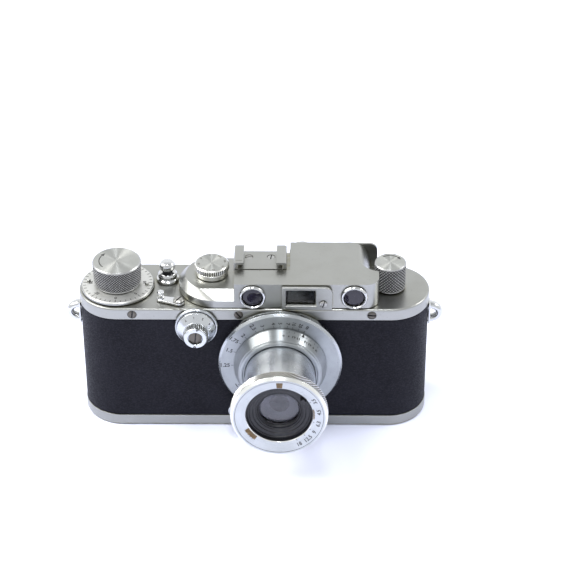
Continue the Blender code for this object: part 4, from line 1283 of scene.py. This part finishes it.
def build_lens_mount():
    _, radius, low, high = seat("lens_mount_ring", "forward")
    lens_piece("lens_mount_ring",
               rounded([(MOUNT_BORE, low), (MOUNT_STEP, low), (MOUNT_STEP, MOUNT_PLATE_BACK),
                        (radius, MOUNT_PLATE_BACK, 0.05),
                                           (radius, high, 0.3), (MOUNT_BORE, high)], closed=True))
    centre, radius, low, high = seat("distance_flange", "forward")
    lens_piece("distance_flange", rounded([
        (FLANGE_BORE, low), (radius - 0.2, low, 0.1), (radius, low + 0.25, 0.1),
        (radius, high - 0.95, 0.12), (radius - 0.75, high - 0.12, 0.15), (radius - 0.95, high, 0.1),
        (FLANGE_BORE, high),
    ], closed=True), 160)
    marks = [inscribe(tick(0, 0.9, 0.18), INFINITY_ANGLE, SCALE_RADIUS, high)]
    for distance in DISTANCES:
        degrees = INFINITY_ANGLE + SCALE_SWEEP / float(distance)
        marks.append(inscribe(tick(0, 0.9, 0.16), degrees, SCALE_RADIUS, high))
        size = 2.3 if float(distance) < 3 else 1.9
        word = lettering(distance, size)
        length = max(vert.co.x for vert in word.verts)
        marks.append(inscribe(word, degrees, 19.1 + length, high, radial=True))
    eight = lettering("8", 2.1)
    marks.append(inscribe(eight, INFINITY_ANGLE, 20.4, high))
    mark("distance_numerals", marks, "camera_body", stand(centre, "forward"))


def build_focus_ring():
    centre = seat("lens_head", "forward")[0]
    place = stand(centre, "forward")
    low, high = box_mm("focus_ring")
    back = -high.y
    face = -low.y
    outer = CONE_FOOT
    cone_end = (CONE_TOP, face - 1.2)
    ring = turn(rounded([
        (RING_BORE, back), (outer, back, 0.1), (outer, back + CONE_EDGE, 0.2), (*cone_end, 0.25),
        (cone_end[0] - 0.35, face - 1.05, 0.08), (cone_end[0] - 0.3, face - 0.35, 0.3),
        (cone_end[0] - 0.9, face, 0.3), (14.25, face - 0.1, 0.1), (13.95, face - 0.6, 0.1),
        (RING_BORE, face - 0.7),
    ], closed=True, steps=4), 128, closed=True)
    remake("focus_ring", ring, "turned_chrome_forward", place)
    knob, radius, _, tip = seat("infinity_lock_button", "forward")
    reach = Vector((knob[0] - centre[0], knob[1] - centre[1]))
    length = reach.length
    outline = rounded([(16.2, -2.2), (length - 1.0, -2.0, 1.0), (length - 1.0, 2.0, 1.0), (16.2, 2.2)],
                      closed=True)
    arm = soften(prism(outline, back + 0.1, back + 1.5), 0.2, 3)
    moved(arm, spin(math.degrees(math.atan2(reach.y, reach.x))))
    boss = turn(rounded([(0, back + 0.2), (3.2, back + 0.2, 0.1), (3.2, back + 3.0, 0.3),
                         (2.8, back + 3.4, 0.2), (0, back + 3.4)]), 64)
    arm = fuse(arm, moved(boss, shift(reach.x, reach.y)))
    bore = cylinder(1.5, back - 1, back + 5, 32)
    arm = carve(arm, moved(bore, shift(reach.x, reach.y)))
    place_piece("focus_lever", arm, "lens_chrome", "focus_ring", place)
    button = rounded([(0, tip - 4.7), (1.2, tip - 4.7), (1.2, tip - 1.35, 0.1),
                      (radius, tip - 0.75, 0.15), (radius, tip - 0.35, 0.2), (radius - 0.5, tip, 0.3),
                      (0, tip)])
    remake_turned("infinity_lock_button", "forward", button, 48)

    slope = math.degrees(math.atan2(cone_end[1] - back - CONE_EDGE, outer - cone_end[0]))
    middle_r = (outer + cone_end[0]) / 2
    middle_h = (back + CONE_EDGE + cone_end[1]) / 2
    marks = [inscribe(moved(wedge(1.5, 1.2), spin(-90)), INFINITY_ANGLE,
                      outer - 0.35, back + 1.9, slope)]
    for side in (-1, 1):
        for i, stop in enumerate(DEPTH_STOPS):
            degrees = INFINITY_ANGLE + side * (5.5 + 6.5 * i)
            marks.append(inscribe(lettering(stop, 1.15), degrees, middle_r, middle_h + 0.2, slope))
            marks.append(inscribe(tick(0, 0.8, 0.13), degrees, outer - 0.1, back + 1.1, slope))
    mark("depth_numerals", marks, "focus_ring", place)


def build_lens_tube():
    centre, _, low, high = seat("lens_tube", "forward")
    place = stand(centre, "forward")
    radius = TUBE_RADIUS
    tube_profile = rounded([(TUBE_BORE, low), (radius, low, 0.2), (radius, high - 1.3),
                            (radius - 0.12, high - 1.2), (radius - 0.12, high), (TUBE_BORE, high)],
                           closed=True)
    lens_piece("lens_tube", tube_profile, 144, "polished_tube", None)
    _, radius, low, high = seat("lens_head", "forward")

    def face_height(reach):
        """The face is a shallow cup that sinks towards the bore."""
        return high - FACE_SINK * (radius - 1.25 - reach)

    profile = rounded([(HEAD_BORE, low), (radius - 0.5, low, 0.1), (radius - 0.25, low + 0.25)])
    profile += knurl(radius, low + 0.4, high - 1.45, 0.42, 0.95, "slanted")
    profile += rounded([(radius - 0.15, high - 1.3), (radius - 0.1, high - 1.15, 0.1),
                        (radius - 1.0, high - 0.08, 0.12), (radius - 1.25, high, 0.1),
                        (12.5, face_height(12.5), 0.1), (HEAD_BORE, face_height(HEAD_BORE) - 0.2)])
    lens_piece("lens_head", profile, HEAD_KNURL, "head_knurl_chrome", "lens_face_chrome")
    rim = face_height(HEAD_BORE) - 0.25
    lining = rounded([(12.02, low + 0.2), (12.26, low + 0.2), (12.26, rim), (12.14, rim + 0.1, 0.05),
                      (12.02, rim)], closed=True)
    place_piece("head_lining", turn(lining, 128, closed=True), "black_metal", "lens_tube",
                place)
    sunk = -math.degrees(math.atan(FACE_SINK))
    marks = []
    for stop, degrees in APERTURE_STOPS:
        marks.append(inscribe(lettering(stop, 2.1), degrees, STOP_RADIUS, face_height(STOP_RADIUS), sunk))
        marks.append(inscribe(tick(0, 0.6, 0.2), degrees, STOP_TICK_RADIUS, face_height(STOP_TICK_RADIUS),
                              sunk))
    corners = ((LINE_INNER, -INK_HEIGHT), (LINE_OUTER, -INK_HEIGHT), (LINE_OUTER, INK_HEIGHT),
               (LINE_INNER, INK_HEIGHT))
    line = [(r, face_height(r) + lift) for r, lift in corners]
    marks.append(turn(line, 144, closed=True))
    mark("aperture_numerals", marks, "lens_tube", place)
    worn = []
    for inner, outer, start, end in WORN_PLACES:
        worn.append(patch(inner, outer, start, end, face_height))
    place_piece("face_wear", merge(*worn), "worn_brass", "lens_tube", place)


def build_optics():
    centre = seat("lens_head", "forward")[0]
    place = stand(centre, "forward")
    low, high = box_mm("aperture_ring")
    back = -high.y
    front = -low.y
    ring = turn(rounded([
        (8.2, back), (11.98, back), (11.98, back + 1.95, 0.1), (11.2, back + 1.95, 0.1),
        (11.0, back + 1.5, 0.1), (9.9, back + 1.4, 0.1), (9.7, back + 1.0, 0.1), (8.8, back + 0.85, 0.1),
        (8.6, back + 0.5, 0.1), (8.2, back + 0.45),
    ], closed=True, steps=3), 112, closed=True)
    tab = rounded([(10.3, -0.9), (11.85, -0.9, 0.3), (11.85, 0.9, 0.3), (10.3, 0.9, 0.4)], closed=True)
    tab = soften(prism(tab, back + 1.0, front), 0.15, 2)
    ring = fuse(ring, moved(tab, spin(38)))
    remake("aperture_ring", ring, matrix=place)
    _, radius, low, high = seat("front_element", "forward")
    dome = []
    for step in range(25):
        share = step / 24
        dome.append((radius * (1 - share), high - 1.5 * (1 - share) ** 2))
    front_glass = [(0, low), (radius, low)] + dome
    remake("front_element", turn(front_glass, 96), matrix=place)
    retainer = rounded([(7.3, high - 1.1), (8.15, high - 1.1), (8.15, high - 0.35, 0.1),
                        (7.75, high - 0.15, 0.2), (7.3, high - 0.9, 0.1)], closed=True)
    place_piece("front_retaining_ring", turn(retainer, 96, closed=True), "black_metal", "lens_tube",
                place)


# ---------------------------------------------------------------- underside

KEY_RADIUS = 4.0
BUSH_BORE = 4.76
BUSH_PITCH = 1.59
LOCK_MARK_RADIUS = 8.6


def build_underside():
    centre, radius, low, high = seat("lock_disc", "up")
    hinge = next(entry for entry in frame["joints"] if entry["name"] == "lock_key_fold")
    hinge_y = hinge["pos_m"][1] / MM - centre[1]
    face = radius - 1.3
    disc = turn([(0, low)] + rounded([(face - 0.8, low), (face, low, 0.25), (face, low + 1.1),
                                      (radius, low + 1.1), (radius, high)]) + [(0, high)], 96)
    recess = arc((0, hinge_y), KEY_RADIUS + 0.35, 180, 360, 32)
    recess += [(KEY_RADIUS + 0.35, hinge_y + 1.1), (-KEY_RADIUS - 0.35, hinge_y + 1.1)]
    disc = carve(disc, prism(recess, -1, low + 1.9))
    remake("lock_disc", soften(disc, 0.08, 2), matrix=stand(centre, "up"))
    key_low, key_high = box_mm("lock_key")
    outer = arc((0, 0), KEY_RADIUS, 180, 360, 40) + [(KEY_RADIUS, 0.6), (-KEY_RADIUS, 0.6)]
    inner = arc((0, -0.6), KEY_RADIUS - 1.4, 180, 360, 40) + [(1.5, -0.6), (-1.5, -0.6)]
    key = carve(prism(outer, key_low.z, key_high.z), prism(inner, -5, 5))
    key_place = Matrix.Translation((centre[0], centre[1] + hinge_y, 0))
    remake("lock_key", soften(key, 0.18, 3), matrix=key_place)

    _, radius, low, high = seat("tripod_bush", "up")
    profile = [(0, high), (radius - 1.5, high), (radius - 1.5, low + 1.8), (radius, low + 1.8),
               (radius, low + 1.1), (radius - 1.5, low + 1.1), (radius - 1.5, low + 0.15),
               (radius - 1.65, low), (BUSH_BORE + 0.3, low), (BUSH_BORE, low + 0.3)]
    turns = int((high - 1.2 - low - 0.4) / BUSH_PITCH)
    for turn_number in range(turns):
        start = low + 0.4 + turn_number * BUSH_PITCH
        profile += [(BUSH_BORE, start), (BUSH_BORE + 0.75, start + BUSH_PITCH / 2)]
    profile += [(BUSH_BORE, low + 0.4 + turns * BUSH_PITCH), (BUSH_BORE, high - 1.0), (0, high - 1.0)]
    remake_turned("tripod_bush", "up", profile, 72)

    low = box_mm("base_plate")[0]
    lock = seat("lock_disc", "up")[0]
    marks = [curved_arrow(LOCK_MARK_RADIUS, -low.z, 150, 205, 0.3),
             curved_arrow(LOCK_MARK_RADIUS, -low.z, 30, -25, 0.3)]
    for degrees in (90, 270):
        dot = cylinder(0.45, -INK_HEIGHT, INK_HEIGHT, 24)
        marks.append(inscribe(dot, degrees, LOCK_MARK_RADIUS, -low.z))
    mark("lock_marks", marks, "base", stand(lock, "down"), "faint_engraving_fill")


# ---------------------------------------------------------------- floor, lights and camera

FLOOR_SIZE = 3.0
FLOOR_DROP = 0.00005


def build_stage():
    size = FLOOR_SIZE
    mesh = bpy.data.meshes.new("floor")
    mesh.from_pydata([(-size, -size, 0), (size, -size, 0), (size, size, 0), (-size, size, 0)], [],
                     [(0, 1, 2, 3)])
    floor = bpy.data.objects.new("floor", mesh)
    floor.location.z = -FLOOR_DROP
    bpy.context.scene.collection.objects.link(floor)
    material, tree, shader = start_material("pale_floor")
    shade = noise(tree, object_place(tree), 6.0)
    shade = blend_colour(tree, shade, (0.80, 0.83, 1.0), (0.84, 0.86, 1.0))
    tree.links.new(shade, shader.inputs["Base Color"])
    shader.inputs["Roughness"].default_value = 0.9
    mesh.materials.append(material)


# Each light's place, width, height, power and tint
LIGHTS = {
    "left": ((-0.53, -0.05, 0.77), 0.42, 0.42, 5.6, (1.0, 0.995, 0.975)),
    "low_left": ((-0.78, 0.10, 0.55), 0.30, 0.30, 1.8, (1.0, 1.0, 0.985)),
    "right": ((0.69, 0.16, 0.62), 0.24, 0.24, 2.6, (0.99, 0.995, 1.0)),
    "above": ((0.0, -0.24, 0.92), 0.16, 0.34, 3.0, (0.93, 0.96, 1.0)),
}
LIGHT_TARGET = Vector((0, 0, 0.045))


def area_light(name, place, width, height, power, tint):
    lamp = bpy.data.lights.new(name, 'AREA')
    lamp.shape = 'RECTANGLE'
    lamp.size = width
    lamp.size_y = height
    lamp.energy = power
    lamp.color = tint
    item = bpy.data.objects.new(name, lamp)
    item.location = place
    item.rotation_euler = (LIGHT_TARGET - Vector(place)).to_track_quat('-Z', 'Y').to_euler()
    bpy.context.scene.collection.objects.link(item)


def build_lights():
    for name, settings in LIGHTS.items():
        area_light(name, *settings)
    world = bpy.data.worlds.new("studio")
    world.use_nodes = True
    tree = world.node_tree
    direction = new_node(tree, "ShaderNodeTexCoord").outputs["Generated"]
    height = new_node(tree, "ShaderNodeSeparateXYZ", {0: direction}).outputs["Z"]
    level = ramp(tree, height, 0.62, 1.0, 1.0, 0.50)
    rear = new_node(tree, "ShaderNodeSeparateXYZ", {0: direction}).outputs["Y"]
    level = compute(tree, 'MULTIPLY', level, ramp(tree, rear, -0.3, 0.6, 1.0, 1.36))
    background = tree.nodes["Background"]
    tree.links.new(level, background.inputs["Strength"])
    background.inputs["Color"].default_value = (0.97, 0.985, 1.0, 1.0)
    bpy.context.scene.world = world


def build_camera():
    azimuth = math.radians(CAMERA_AZIMUTH)
    tilt = math.radians(CAMERA_TILT)
    look = Vector((math.sin(azimuth) * math.cos(tilt), math.cos(azimuth) * math.cos(tilt),
                   math.sin(tilt)))
    data = bpy.data.cameras.new("camera")
    data.sensor_width = SENSOR
    data.lens = CAMERA_LENS
    data.clip_start = 0.05
    data.clip_end = 20.0
    camera = bpy.data.objects.new("camera", data)
    roll = spin(CAMERA_ROLL)
    facing = look.to_track_quat('-Z', 'Y').to_matrix().to_4x4()
    camera.matrix_world = Matrix.Translation(CAMERA_PLACE) @ facing @ roll
    bpy.context.scene.collection.objects.link(camera)
    bpy.context.scene.camera = camera


def dress_cad_nodes():
    """Every CAD node that is still shown takes the procedural material of its slot."""
    for name, item in frame["nodes"].items():
        item.data.materials.clear()
        item.data.materials.append(MATERIALS[SLOT_OF[name]])


bpy.context.scene.view_settings.view_transform = 'Standard'
build_camera()
dress_cad_nodes()
build_body()
build_finder_housing()
build_windows()
build_viewfinder()
build_eyepieces()
build_accessory_shoe()
build_wind()
build_rewind()
build_release()
build_reversing_lever()
build_speed_dial()
build_slow_dial()
build_strap_lugs()
build_lens_mount()
build_focus_ring()
build_lens_tube()
build_optics()
build_underside()
build_stage()
build_lights()
